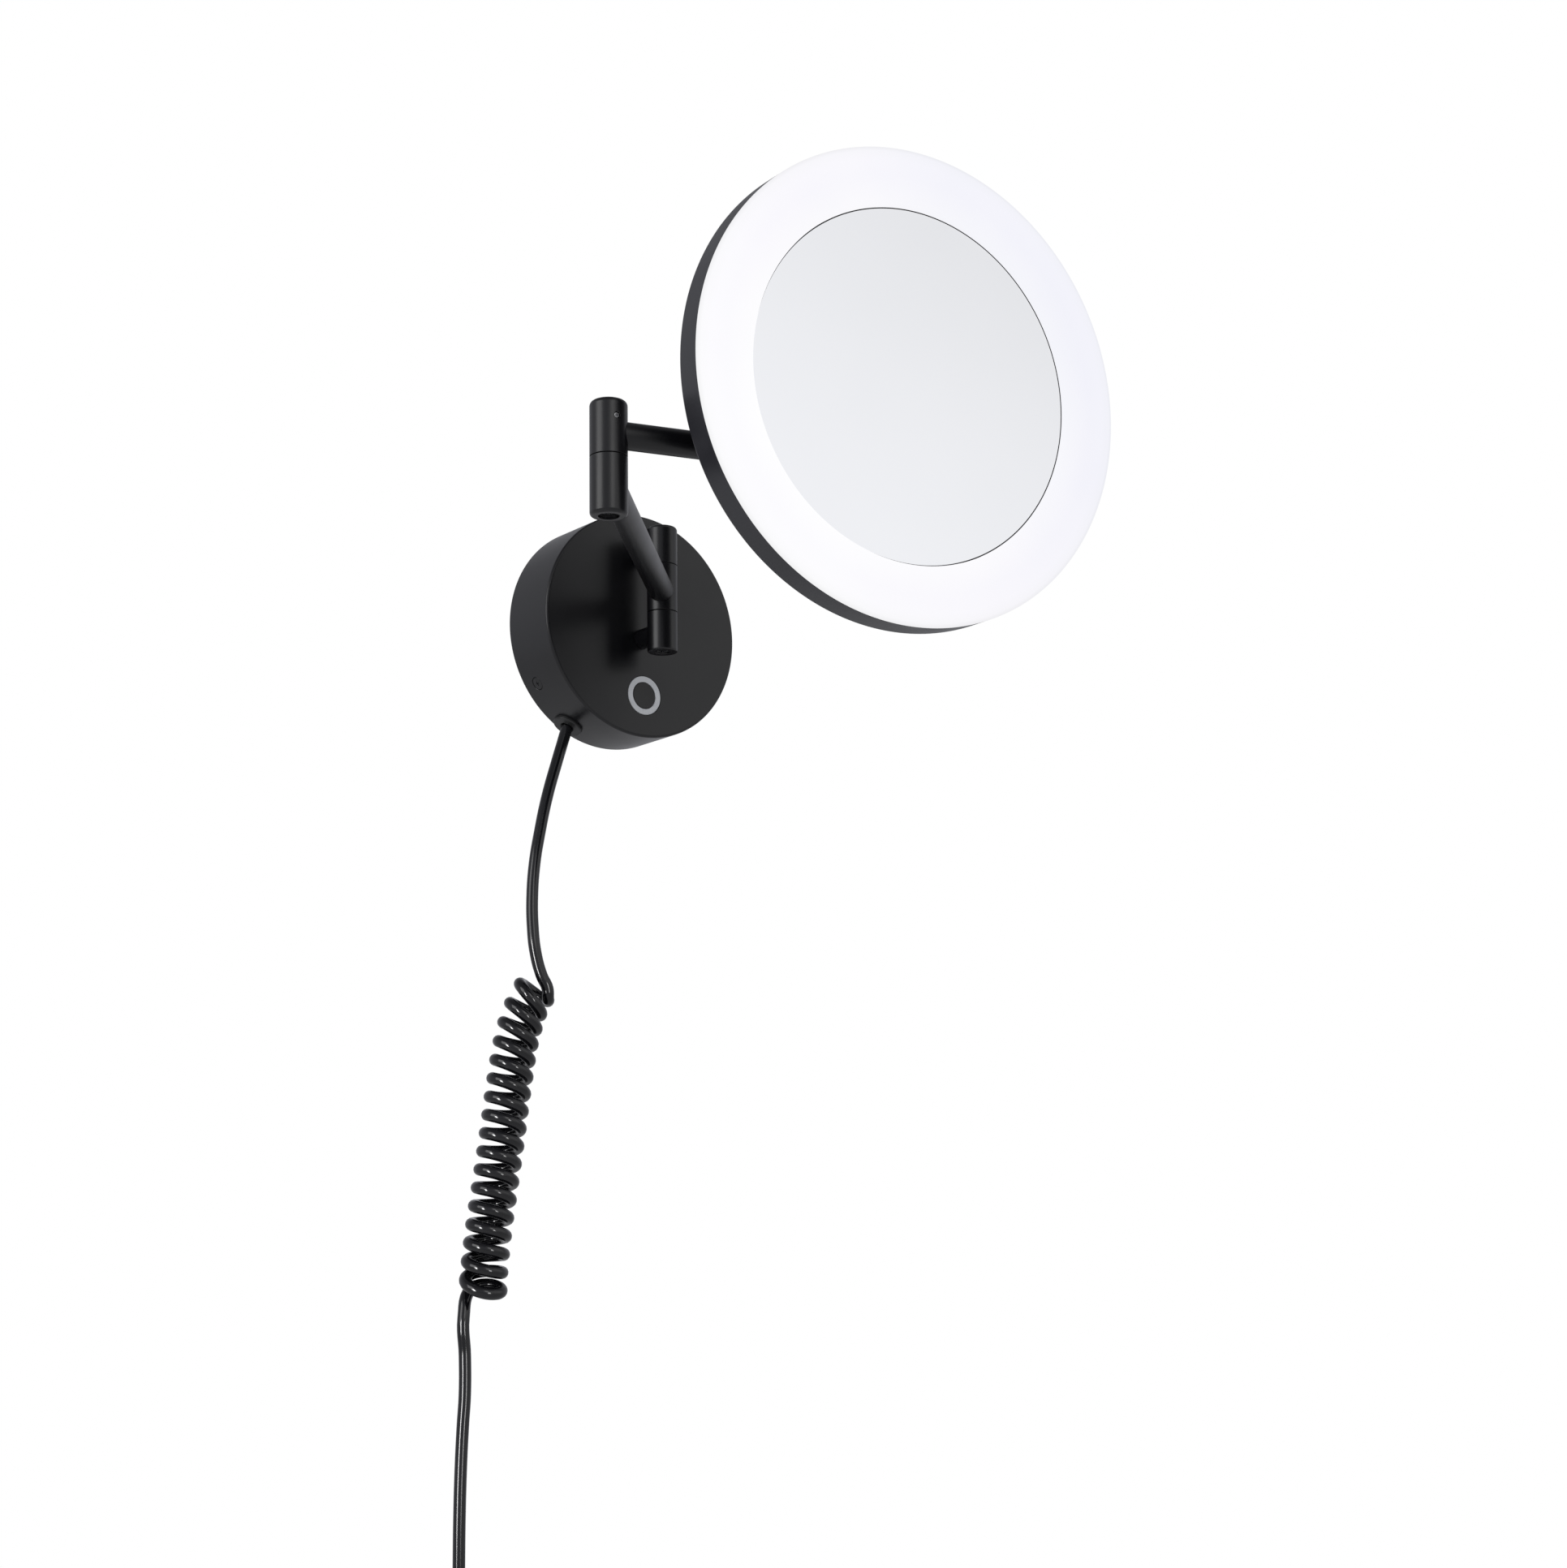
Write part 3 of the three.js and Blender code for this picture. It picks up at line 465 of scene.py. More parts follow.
COIL_FROM, COIL_TO = -0.04, 17.38
TURN_POINTS = 16


def axis_x(z):
    """The x of the coil's axis at a height, smooth through its points."""
    points = COIL_AXIS
    if z >= points[0][1]:
        (x0, z0), (x1, z1) = points[:2]
        return x0 + (x1 - x0) * (z - z0) / (z1 - z0)
    for i in range(len(points) - 1):
        (x0, z0), (x1, z1) = points[i:i + 2]
        if z >= z1 or i == len(points) - 2:
            break

    def slope(k):
        low, high = max(k - 1, 0), min(k + 1, len(points) - 1)
        return (points[high][0] - points[low][0]) / (points[high][1] - points[low][1])

    span = z1 - z0
    t = (z - z0) / span
    return (
        (2 * t**3 - 3 * t**2 + 1) * x0 + (t**3 - 2 * t**2 + t) * span * slope(i)
        + (3 * t**2 - 2 * t**3) * x1 + (t**3 - t**2) * span * slope(i + 1)
    )


def coil_points():
    """The curl: its first turns lean over and its last one lifts at the back."""
    side = Vector((CAMERA_RIGHT[0], CAMERA_RIGHT[1], 0)).normalized()
    away = Vector((-side.y, side.x, 0))
    up = Vector(UP)
    count = math.ceil((COIL_TO - COIL_FROM) * TURN_POINTS)
    points = []
    for i in range(count + 1):
        turns = COIL_FROM + (COIL_TO - COIL_FROM) * i / count
        z = COIL_TOP - COIL_PITCH * turns
        lean = math.radians(5 + 36 * math.exp(-(turns - 0.75) / 3.0))
        lift = math.radians(-6 + 30 * math.exp((turns - 16.75) / 1.9))
        radius = COIL_R + 0.25 * min(max(turns / 17, 0), 1) ** 4
        a = side * math.cos(lean) - up * math.sin(lean)
        b = away * math.cos(lift) + up * math.sin(lift)
        angle = 2 * math.pi * turns
        ring = a * math.cos(angle) + b * math.sin(angle)
        points.append(Vector((axis_x(z), COIL_Y, z)) + ring * radius)
    return points


def make_cord():
    route = [*map(Vector, CORD_UPPER_ROUTE), *coil_points(), *map(Vector, CORD_LOWER_ROUTE)]
    data = bpy.data.curves.new("supply_cord", "CURVE")
    data.dimensions = "3D"
    data.resolution_u = 6
    data.bevel_depth = CORD_D / 2 * MM
    data.bevel_resolution = 6
    data.use_fill_caps = True
    spline = data.splines.new("BEZIER")
    spline.bezier_points.add(len(route) - 1)
    for knot, point in zip(spline.bezier_points, route):
        knot.co = point * MM
        knot.handle_left_type = knot.handle_right_type = "AUTO"
    obj = bpy.data.objects.new("supply_cord", data)
    scene.collection.objects.link(obj)
    dressed(obj, "cord_coil")
    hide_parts("cord_upper", "cord_lower")
    return obj


supply_cord = make_cord()

# ------------------------------------------------------------------ wall unit
# Built lying flat: +Z is out from the wall and +Y is up.

BASE = Matrix.Rotation(math.radians(90), 4, "X")
BASE_R = 51.5
BASE_DEPTH = 30.3
BASE_WALL = 2.4
PLATE_R = 48.8
PLATE_T = 2.5
SIDE_SCREWS = (90, 214, 326)
SIDE_SCREW_DEPTH = 9.4
TOUCH_AT = Matrix.Translation((1, -32.3, 0))
GLAND_AT = aim((0, 0, 7.5), heading(241))
GLAND_FACE = 52.8
POSTS = (("lower", -6.4), ("upper", 32.6))
CAP_SCREW = (2.9, 1.5, 8.4)
YOKE_SCREW = (2.6, 1.5, 7.4)
SET_SCREW_R = 1.15
SET_SCREW_BORE_R = 1.25


def side_screw_at(angle):
    return aim((*polar(BASE_R - 0.2, angle), SIDE_SCREW_DEPTH), heading(angle))


def screw(head, shank, length):
    """A countersunk screw with a cross recess; the top of its head is at 0."""
    body = lathe([
        (0, 0), (head, 0, 0.2), (head, -0.45, 0.1), (shank, -1.7),
        (shank, -length, 0.3), (0, -length),
    ], 64)
    return cut(body, *cross_recess(head * 0.55, 0, 0.8))


def sink(head, shank, length):
    """The cutter for the hole that such a screw sits in."""
    return lathe([
        (0, 3), (head + 0.4, 3), (head + 0.4, 0.2), (head + 0.18, -0.05),
        (head + 0.18, -0.5), (shank + 0.15, -1.8), (shank + 0.15, -length - 0.6),
        (0, -length - 0.6),
    ], 64)


def base_housing():
    inner = BASE_R - BASE_WALL
    floor = BASE_DEPTH - BASE_WALL
    cup = lathe([
        (0, BASE_DEPTH), (BASE_R, BASE_DEPTH, 1.2), (BASE_R, 0, 0.4),
        (inner, 0, 0.3), (inner, floor, 1.0), (0, floor),
    ], 192, 8)
    tools = [moved(hole(8.92, 24, BASE_DEPTH, 0.2, 96), TOUCH_AT)]
    for _, y in POSTS:
        tools.append(moved(hole(2.6, 24, BASE_DEPTH, 0.1), Matrix.Translation((0, y, 0))))
    for angle in SIDE_SCREWS:
        tools.append(moved(sink(*CAP_SCREW), side_screw_at(angle)))
    tools.append(moved(hole(4.35, 40, 60), GLAND_AT))
    refine("base_housing", cut(cup, *tools), BASE)


def wall_plate():
    plate = lathe([(0, 0), (PLATE_R, 0, 0.3), (PLATE_R, PLATE_T, 0.3), (0, PLATE_T)], 160)
    tabs = []
    bores = []
    for angle in SIDE_SCREWS:
        spin = Matrix.Rotation(math.radians(angle), 4, "Z")
        tabs.append(moved(block(3.4, 12, 13.75, (46.2, 0, 8.1)), spin))
        bores.append(moved(hole(1.7, 40, 50), spin @ aim((0, 0, SIDE_SCREW_DEPTH), (1, 0, 0))))
    for side in (-34, 34):
        bores.append(moved(hole(4.4, -1, 5, 0), Matrix.Translation((side, -2, 0))))
        neck = [(2.6 * math.cos(a), 5.9 + 2.6 * math.sin(a))
                for a in (math.pi * k / 16 for k in range(17))]
        slot = [(2.6, -2), *neck, (-2.6, -2)]
        bores.append(moved(prism(slot, -1, 5), Matrix.Translation((side, 0, 0))))
    refine("wall_plate", cut(joined(plate, *tabs), *bores), BASE)


def side_screws():
    for i, angle in enumerate(SIDE_SCREWS):
        refine(f"housing_screw_{i + 1}", screw(*CAP_SCREW), BASE @ side_screw_at(angle))


def touch_switch():
    light = lathe([
        (6.2, 27.3), (8.85, 27.3), (8.85, BASE_DEPTH, 0.3), (6.2, BASE_DEPTH, 0.3),
    ], 128)
    refine("touch_ring", light, BASE @ TOUCH_AT)
    pad = lathe([(0, 27.5), (6.1, 27.5), (6.1, 30.12, 0.3), (5.2, 30.1, 0.5), (0, 29.95)], 96)
    refine("touch_pad", pad, BASE @ TOUCH_AT)


def cable_gland():
    flange = lathe([(0, 49.5), (6.8, 49.5), (6.8, GLAND_FACE, 0.6), (0, GLAND_FACE)], 96)
    skin = lathe([(46.5, -5), (BASE_R + FIT, -5), (BASE_R + FIT, 40), (46.5, 40)], 192)
    flange = cut(flange, moved(skin, GLAND_AT.inverted()))
    neck = lathe([(0, 44), (4.2, 44, 0.3), (4.2, 52.4), (0, 52.4)], 64)
    mouth = hole(2.75, GLAND_FACE - 3, GLAND_FACE, 0.5, 64)
    refine("cable_gland", cut(joined(flange, neck), mouth), BASE @ GLAND_AT)


def posts():
    for label, y in POSTS:
        post = lathe([
            (0, 21.3), (2.5, 21.3, 0.3), (2.5, BASE_DEPTH + 0.05),
            (4.5, BASE_DEPTH + 0.05, 0.35), (4.5, 44), (0, 44),
        ], 96)
        across = Matrix.Translation((0, 0, -WALL_AT.y)) @ Matrix.Rotation(math.pi / 2, 4, "X")
        space = moved(hole(WALL_KNUCKLE_R + FIT, -20, 20, 0, 128), across)
        refine(f"post_{label}", cut(post, space), BASE @ Matrix.Translation((0, y, 0)))


# -------------------------------------------------------------------- bracket

SEAM = 0.14
SPIGOT_R = 4.0
ARM_R = 5.53
ARM_BORE_R = 4.3
ARM_1_Z, ARM_1_LENGTH, ARM_1_HEADING = 11.5, 163.2, -133
ARM_2_Z, ARM_2_LENGTH, ARM_2_HEADING = 30.5, 115.8, -14
WALL_KNUCKLE_R = 6.82
ELBOW_R = 7.55
HEAD_KNUCKLE_R = 7.0
EDGE = 0.2
PIN_R = 3.3
WALL_AT, ELBOW_AT, SWIVEL_AT = [
    Vector((*joint_at(name).xy, 0)) for name in ("wall_hinge", "elbow_hinge", "head_swivel")
]
TILT_Z = joint_at("head_tilt").z


def knuckle_with_bore(radius, bottom, top, soft, bore, recess, depth, washer):
    """A lower knuckle segment: a recess for the pin below, a washer seat above."""
    return lathe([
        (recess, bottom, 0.3), (radius, bottom, soft), (radius, top, EDGE),
        (washer, top), (washer, top - 0.8), (bore, top - 0.8),
        (bore, bottom + depth), (recess, bottom + depth),
    ], 128)


def knuckle_cap(radius, bottom, top, soft, bore, depth):
    """An upper knuckle segment, closed at its top."""
    return lathe([
        (0, top), (radius, top, soft), (radius, bottom, EDGE), (bore, bottom),
        (bore, depth), (0, depth),
    ], 128)


def spigot(radius, z, degrees):
    rod = lathe([
        (0, radius - 2), (SPIGOT_R, radius - 2), (SPIGOT_R, radius + 8, 0.4),
        (0, radius + 8),
    ], 64)
    return moved(rod, aim((0, 0, z), heading(degrees)))


def pin(low, high, bottom, top, radius=PIN_R, head=4.0):
    shaft = lathe([
        (0, bottom), (head, bottom, 0.4), (head, high, 0.2), (radius, high),
        (radius, top, 0.4), (0, top),
    ], 96)
    return cut(shaft, hexagon(4.0, bottom - 2, low))


def socket_screw(radius, start, end):
    body = lathe([(0, start), (radius, start), (radius, end, 0.2), (0, end)], 48)
    return cut(body, hexagon(radius * 1.15, end - 1.2, end + 1))


def wall_knuckle():
    at = Matrix.Translation(WALL_AT)
    low = knuckle_with_bore(WALL_KNUCKLE_R, -15.8, 2.3 - SEAM, 0.7, 3.2, 3.25, 1.0, 5.9)
    refine("wall_knuckle_lower", low, at)
    cap = knuckle_cap(WALL_KNUCKLE_R, 24 + SEAM, 41.9, 1.5, 3.3, 38.4)
    refine("wall_knuckle_upper", cap, at)
    shaft = lathe([(0, -15.2), (3, -15.2, 0.35), (3, 38, 0.35), (0, 38)], 96)
    refine("wall_hinge_pin", cut(shaft, hexagon(3, -17, -12.8)), at)
    middle = lathe([
        (4.8, 2.3 + SEAM), (WALL_KNUCKLE_R, 2.3 + SEAM, EDGE),
        (WALL_KNUCKLE_R, 24 - SEAM, EDGE), (5.9, 24 - SEAM), (5.9, 22.8), (4.8, 22.8),
    ], 128)
    arm = spigot(WALL_KNUCKLE_R, ARM_1_Z, ARM_1_HEADING)
    refine("wall_knuckle_middle", joined(middle, arm), at)


def arm_tube(node, start, z, degrees, length, start_r, end_r):
    """A tube between two knuckles, coped to lie against both."""
    tube = lathe([
        (ARM_BORE_R, 2), (ARM_R, 2), (ARM_R, length - 2), (ARM_BORE_R, length - 2),
    ], 128)
    upright = Matrix.Rotation(math.pi / 2, 4, "Y")
    ends = [
        moved(hole(radius + FIT, -20, 20, 0, 192), Matrix.Translation((0, 0, along)) @ upright)
        for along, radius in ((0, start_r), (length, end_r))
    ]
    refine(node, cut(tube, *ends), aim(start + Vector((0, 0, z)), heading(degrees), UP))


def elbow():
    at = Matrix.Translation(ELBOW_AT)
    low = knuckle_with_bore(ELBOW_R, -3.3, 20.9 - SEAM, 1.6, 3.5, 4.2, 4.4, 6.2)
    arm = spigot(ELBOW_R, ARM_1_Z, ARM_1_HEADING + 180)
    refine("elbow_lower", joined(low, arm), at)
    screw_at = aim((0, 0, 36.2), heading(-97))
    cap = knuckle_cap(ELBOW_R, 20.9 + SEAM, 43.9, 2.2, 3.5, 40.3)
    cap = joined(cap, spigot(ELBOW_R, ARM_2_Z, ARM_2_HEADING))
    cap = cut(cap, moved(hole(SET_SCREW_BORE_R, 2, ELBOW_R + 0.02, 0.2), screw_at))
    refine("elbow_upper", cap, at)
    refine("elbow_pin", pin(0.0, 0.8, -1.5, 40), at)
    refine("elbow_set_screw", socket_screw(SET_SCREW_R, 3.6, 6.95), at @ screw_at)


def head_knuckle():
    at = Matrix.Translation(SWIVEL_AT)
    low = knuckle_with_bore(HEAD_KNUCKLE_R, 23, 39.5 - SEAM, 0.8, 3.5, 4.2, 2.7, 5.8)
    arm = spigot(HEAD_KNUCKLE_R, ARM_2_Z, ARM_2_HEADING + 180)
    refine("head_knuckle_lower", joined(low, arm), at)
    refine("head_swivel_pin", pin(24.6, 25.4, 23.5, 47.5), at)
    turned = at @ Matrix.Rotation(YAW, 4, "Z")
    cap = knuckle_cap(HEAD_KNUCKLE_R, 39.5 + SEAM, 65, 1.2, 3.5, 47.8)
    flats = [block(10, 30, 20, (side * (TONGUE + 5), 0, 59.5)) for side in (-1, 1)]
    bolt_at = Matrix.Translation((0, 0, TILT_Z)) @ Matrix.Rotation(math.pi / 2, 4, "Y")
    screw_at = aim((0, 0, 44.2), (0, 1, 0))
    tools = [
        moved(hole(2.6, -12, 12, 0), bolt_at),
        moved(hole(SET_SCREW_BORE_R, 2, 7.02, 0.2), screw_at),
    ]
    refine("head_knuckle_upper", cut(cap, *flats, *tools), turned)
    refine("head_set_screw", socket_screw(SET_SCREW_R, 3.6, 6.4), turned @ screw_at)


# ----------------------------------------------------------------------- head

TONGUE = 5.2
HEAD_TILT = 2.8
HEAD_FRONT = 29.8
HEAD_R = 99.0
HEAD_DEPTH = 14.2
HEAD_WALL = 2.0
GLASS_R = 73.7
GLASS_EDGE = -0.1
GLASS_T = 3.0
GLASS_CURVE = 1500.0
DIFFUSER_IN = 73.95
DIFFUSER_EDGE = 0.95
DIFFUSER_CREST = (86.0, 1.85)
EAR_IN, EAR_OUT = 6.5, 9.4
PLATE_LOW = 12.7
YOKE_SCREWS = ((13.4, 9), (-13.4, 9), (-13.4, -9), (13.4, -9))
YAW = math.atan2(JOINT["head_tilt"]["axis"][1], JOINT["head_tilt"]["axis"][0])
TILT = (
    Matrix.Translation(joint_at("head_tilt")) @ Matrix.Rotation(YAW, 4, "Z")
    @ Matrix.Rotation(math.radians(90 + HEAD_TILT), 4, "X")
)
HEAD = TILT @ Matrix.Translation((0, 0, HEAD_FRONT))
ALONG_TILT = TILT @ Matrix.Rotation(math.pi / 2, 4, "Y")


def tilt_yoke():
    top = HEAD_FRONT - HEAD_DEPTH - FIT
    plate = lathe([(0, PLATE_LOW), (20, PLATE_LOW, 0.8), (20, top, 0.3), (0, top)], 128)
    outline = [
        (-6 * math.cos(a), 6 * math.sin(a)) for a in (math.pi * (k / 24 - 0.5) for k in range(25))
    ]
    outline += [(PLATE_LOW + 1, 9), (PLATE_LOW + 1, -9)]
    turn = Matrix(((0, 0, 1, 0), (0, -1, 0, 0), (1, 0, 0, 0), (0, 0, 0, 1)))
    ears = [
        moved(prism(outline, low, low + EAR_OUT - EAR_IN, 0.4), turn)
        for low in (EAR_IN, -EAR_OUT)
    ]
    bore = moved(hole(2.6, -20, 20, 0), Matrix.Rotation(math.pi / 2, 4, "Y"))
    sinks = [
        moved(sink(*YOKE_SCREW), yoke_screw_at(spot, PLATE_LOW)) for spot in YOKE_SCREWS
    ]
    refine("tilt_yoke", cut(joined(plate, *ears), bore, *sinks), TILT)


def yoke_screw_at(spot, z):
    return Matrix.Translation((*spot, z)) @ Matrix.Rotation(math.pi, 4, "X")


def tilt_fasteners():
    near = EAR_OUT + 0.05
    bolt = lathe([
        (0, -13.3), (2.5, -13.3, 0.4), (2.5, near), (4.2, near, 0.2),
        (4.2, near + 1.9, 1.1), (2.4, near + 2.6, 0.3), (0, near + 2.6),
    ], 96)
    refine("tilt_bolt", cut(bolt, hexagon(2.6, near + 1, near + 4)), ALONG_TILT)
    body = combined(hexagon(7, -near - 3.2, -near), [lathe([
        (0, -near - 3.2), (3.4, -near - 3.2), (4.1, -near - 2.8), (4.1, -near - 0.4),
        (3.4, -near), (0, -near),
    ], 96)], "INTERSECT")
    refine("tilt_nut", cut(body, hole(2.53, -20, -near + 1, 0)), ALONG_TILT)
    for label, side in (("left", -1), ("right", 1)):
        ends = sorted((side * (TONGUE + 0.03), side * (EAR_IN - 0.03)))
        washer = lathe([
            (2.6, ends[0]), (5, ends[0], 0.2), (5, ends[1], 0.2), (2.6, ends[1]),
        ], 96)
        refine(f"tilt_washer_{label}", washer, ALONG_TILT)
    for i, spot in enumerate(YOKE_SCREWS):
        place = TILT @ yoke_screw_at(spot, PLATE_LOW + 0.1)
        refine(f"yoke_screw_{i + 1}", screw(*YOKE_SCREW), place)


def head_housing():
    inner = HEAD_R - HEAD_WALL
    floor = HEAD_WALL - HEAD_DEPTH
    cup = lathe([
        (0, -HEAD_DEPTH), (HEAD_R, -HEAD_DEPTH, 2.2), (HEAD_R, -0.05, 0.3),
        (inner, -0.05), (inner, floor, 1.0), (0, floor),
    ], 256, 8)
    places = [Matrix.Translation((*spot, 0)) for spot in YOKE_SCREWS]
    bosses = [
        moved(lathe([
            (0, floor - 1), (3.6, floor - 1), (3.6, floor + 4.4, 0.3), (0, floor + 4.4),
        ], 48), place)
        for place in places
    ]
    bores = [moved(hole(1.55, -20, floor + 3.4, 0), place) for place in places]
    refine("head_housing", cut(joined(cup, *bosses), *bores), HEAD)


def diffuser_ring():
    crest_r, crest = DIFFUSER_CREST
    steps = 20
    dome = []
    for k in range(steps + 1):
        r = DIFFUSER_IN + 0.45 + (HEAD_R - 1.5 - DIFFUSER_IN) * k / steps
        dome.append((r, crest - (crest - DIFFUSER_EDGE) * ((r - crest_r) / 12) ** 2))
    shape = lathe([
        (DIFFUSER_IN, -1), (DIFFUSER_IN, dome[0][1] - 0.35), *dome[:-1],
        (HEAD_R - 0.35, 0.62), (HEAD_R, 0.3), (HEAD_R, 0.0), (96.6, 0.0), (96.6, -3, 0.3),
        (94.6, -3, 0.3), (94.6, -1),
    ], 256)
    refine("diffuser_ring", shape, HEAD, 50)


def mirror_glass():
    def front(radius):
        return GLASS_EDGE - (GLASS_R**2 - radius**2) / (2 * GLASS_CURVE)

    radii = [GLASS_R * k / 24 for k in range(24)] + [GLASS_R - 0.3]
    outline = [(r, front(r)) for r in radii]
    outline += [(GLASS_R, GLASS_EDGE - 0.3), (GLASS_R, GLASS_EDGE - GLASS_T)]
    outline += [(r, front(r) - GLASS_T) for r in reversed(radii[::4])]
    return refine("mirror_glass", lathe(outline, 256), HEAD)


def mirror_carrier():
    shape = lathe([
        (0, -7.4), (74.8, -7.4, 0.4), (74.8, -1.6), (DIFFUSER_IN - FIT, -1.6),
        (DIFFUSER_IN - FIT, GLASS_EDGE, 0.15), (GLASS_R + FIT, GLASS_EDGE, 0.15),
        (GLASS_R + FIT, -3.5), (70, -3.5), (70, -5.5), (0, -5.5),
    ], 256)
    refine("mirror_carrier", shape, HEAD)


# ----------------------------------------------------------------------- plug

PLUG_AT = Matrix.Translation((CORD_LOWER_ROUTE[-1][0], CORD_LOWER_ROUTE[-1][1], 0))
CORD_END = CORD_LOWER_ROUTE[-1][2]
PLUG_FACE = -526.0
RELIEF_FOOT = -489.0
PIN_GAP = 18.6


def loft(sections, sides=96):
    """A closed body through (z, half width, half depth, squareness) sections."""
    bm = bmesh.new()
    rings = []
    for z, wide, deep, power in sections:
        ring = []
        for i in range(sides):
            c, s = polar(1, 360 * i / sides)
            x = wide * math.copysign(abs(c) ** (2 / power), c)
            y = deep * math.copysign(abs(s) ** (2 / power), s)
            ring.append(bm.verts.new((x, y, z)))
        rings.append(ring)
    for low, high in zip(rings, rings[1:]):
        for i in range(sides):
            j = (i + 1) % sides
            bm.faces.new((low[i], low[j], high[j], high[i]))
    bm.faces.new(rings[0][::-1])
    bm.faces.new(rings[-1])
    return to_mesh(bm)


def plug():
    sections = [
        (PLUG_FACE, 15.9, 5.2, 3.6), (-525.7, 16.7, 6.0, 3.6), (-525.1, 17.3, 6.55, 3.6),
        (-524.0, 17.6, 6.85, 3.6), (-514, 17.65, 6.85, 3.6), (-509, 17.4, 6.85, 3.5),
        (-505, 16.4, 6.8, 3.3), (-501.5, 14.6, 6.7, 3.0), (-498.5, 12.2, 6.5, 2.8),
        (-495.5, 9.6, 6.25, 2.5), (-492.5, 7.3, 5.9, 2.2), (-490, 5.9, 5.4, 2.0),
        (RELIEF_FOOT, 5.3, 5.1, 2.0),
    ]
    ribs = 7
    length = CORD_END + 3 - RELIEF_FOOT
    for k in range(ribs):
        foot = RELIEF_FOOT + length * (k + 0.15) / ribs
        outer = 5.0 - 1.1 * k / (ribs - 1)
        for rise, radius in ((0, outer - 0.75), (0.9, outer - 0.75), (1.2, outer),
                             (2.3, outer), (2.55, outer - 0.3)):
            sections.append((foot + rise, radius, radius, 2.0))
    body = loft(sections)
    mouth = hole(CORD_D / 2 + 0.1, CORD_END - 0.3, sections[-1][0], 0.3)
    obj = refine("plug_body", cut(body, mouth), PLUG_AT)
    pins = [obj]
    for label, side in (("left", -1), ("right", 1)):
        shape = lathe([
            (0, PLUG_FACE - 0.03), (2, PLUG_FACE - 0.03), (2, PLUG_FACE - 19, 1.3),
            (0, PLUG_FACE - 19),
        ], 64)
        at = PLUG_AT @ Matrix.Translation((side * PIN_GAP / 2, 0, 0))
        pins.append(refine(f"plug_pin_{label}", shape, at))
    return pins


# ------------------------------------------------- light ring and looking glass


def head_axes(tree):
    """Node outputs for a point's place across, up and from the centre of the glass."""
    coords = add_node(tree, "TexCoord").outputs["Object"]
    from_centre = worked_out(tree, "VectorMath", "SUBTRACT", coords, HEAD.translation * MM)
    across, up = [
        worked_out(tree, "VectorMath", "DOT_PRODUCT", from_centre, HEAD.col[i].xyz)
        for i in (0, 1)
    ]
    return coords, across, up, worked_out(tree, "VectorMath", "LENGTH", from_centre)


def diffuser_material():
    """Opal plastic lit from behind: its glow is cooler and dimmer towards the right and top, with
    painted shade on its outer rounded edge.
    """
    material = bpy.data.materials.new("diffuser")
    material.use_nodes = True
    tree = material.node_tree
    tree.nodes.clear()
    coords, across, up, radius = head_axes(tree)
    # The glow is cooler and dimmer towards the right and top of the ring.
    away = worked_out(
        tree, "Math", "ADD", worked_out(tree, "Math", "MULTIPLY", across, 0.85),
        worked_out(tree, "Math", "MULTIPLY", up, 0.5),
    )
    side = spread(tree, away, -0.09, 0.09)
    cloud = add_node(tree, "TexNoise", Vector=coords, Scale=22.0, Detail=2.0)
    clouds = spread(tree, cloud.outputs["Fac"], 0.3, 0.7, -0.10, 0.10)
    side = worked_out(tree, "Math", "ADD", side, clouds)
    base = ramp(tree, side, [
        (0.0, (0.990, 0.990, 0.990)), (0.45, (0.962, 0.955, 0.975)),
        (1.0, (0.900, 0.905, 0.950)),
    ])
    # Across the ring: the light guide's own glow pattern, and in its last stops a painted shade
    # on the outer rounded edge, where it turns away.
    radial_glow_and_edge_shade = ramp(tree, spread(tree, radius, 0.074, 0.099), [
        (0.0, (1.0, 1.0, 1.0)), (0.18, (0.995, 0.992, 0.998)),
        (0.50, (0.980, 0.975, 0.993)), (0.78, (0.985, 0.98, 0.995)),
        (0.93, (0.97, 0.968, 0.975)), (1.0, (0.90, 0.90, 0.90)),
    ])
    glow = mixed(tree, 1.0, base, radial_glow_and_edge_shade, "MULTIPLY")
    fine = add_node(tree, "TexNoise", Vector=coords, Scale=1400.0, Detail=2.0)
    bump = add_node(tree, "Bump", Height=fine.outputs["Fac"], Strength=0.4, Distance=0.00001)
    body = mixed(tree, 1.0, glow, (0.12, 0.12, 0.13, 1), "MULTIPLY")
    shader = add_node(
        tree, "BsdfPrincipled", Base_Color=body, Roughness=0.45,
        Normal=bump.outputs["Normal"], Emission_Color=glow, Emission_Strength=0.91,
        Specular_IOR_Level=0.3,
    )
    tree.links.new(shader.outputs["BSDF"], add_node(tree, "OutputMaterial").inputs["Surface"])
    return material


def mirror_material():
    """Silvered glass with the faintest cloudiness in its tint."""
    material = bpy.data.materials.new("mirror")
    material.use_nodes = True
    tree = material.node_tree
    tree.nodes.clear()
    coords = add_node(tree, "TexCoord").outputs["Object"]
    cloud = add_node(tree, "TexNoise", Vector=coords, Scale=14.0, Detail=2.0)
    tint = ramp(tree, cloud.outputs["Fac"], [
        (0.3, (0.935, 0.942, 0.965)), (0.7, (0.950, 0.955, 0.978)),
    ])
    haze = spread(tree, cloud.outputs["Fac"], 0.3, 0.7, 0.015, 0.03)
    shader = add_node(tree, "BsdfPrincipled", Base_Color=tint, Metallic=1.0, Roughness=haze)
    tree.links.new(shader.outputs["BSDF"], add_node(tree, "OutputMaterial").inputs["Surface"])
    return material


MATERIAL["diffuser"] = diffuser_material()
MATERIAL["mirror"] = mirror_material()

# -------------------------------------------------------------------- assembly

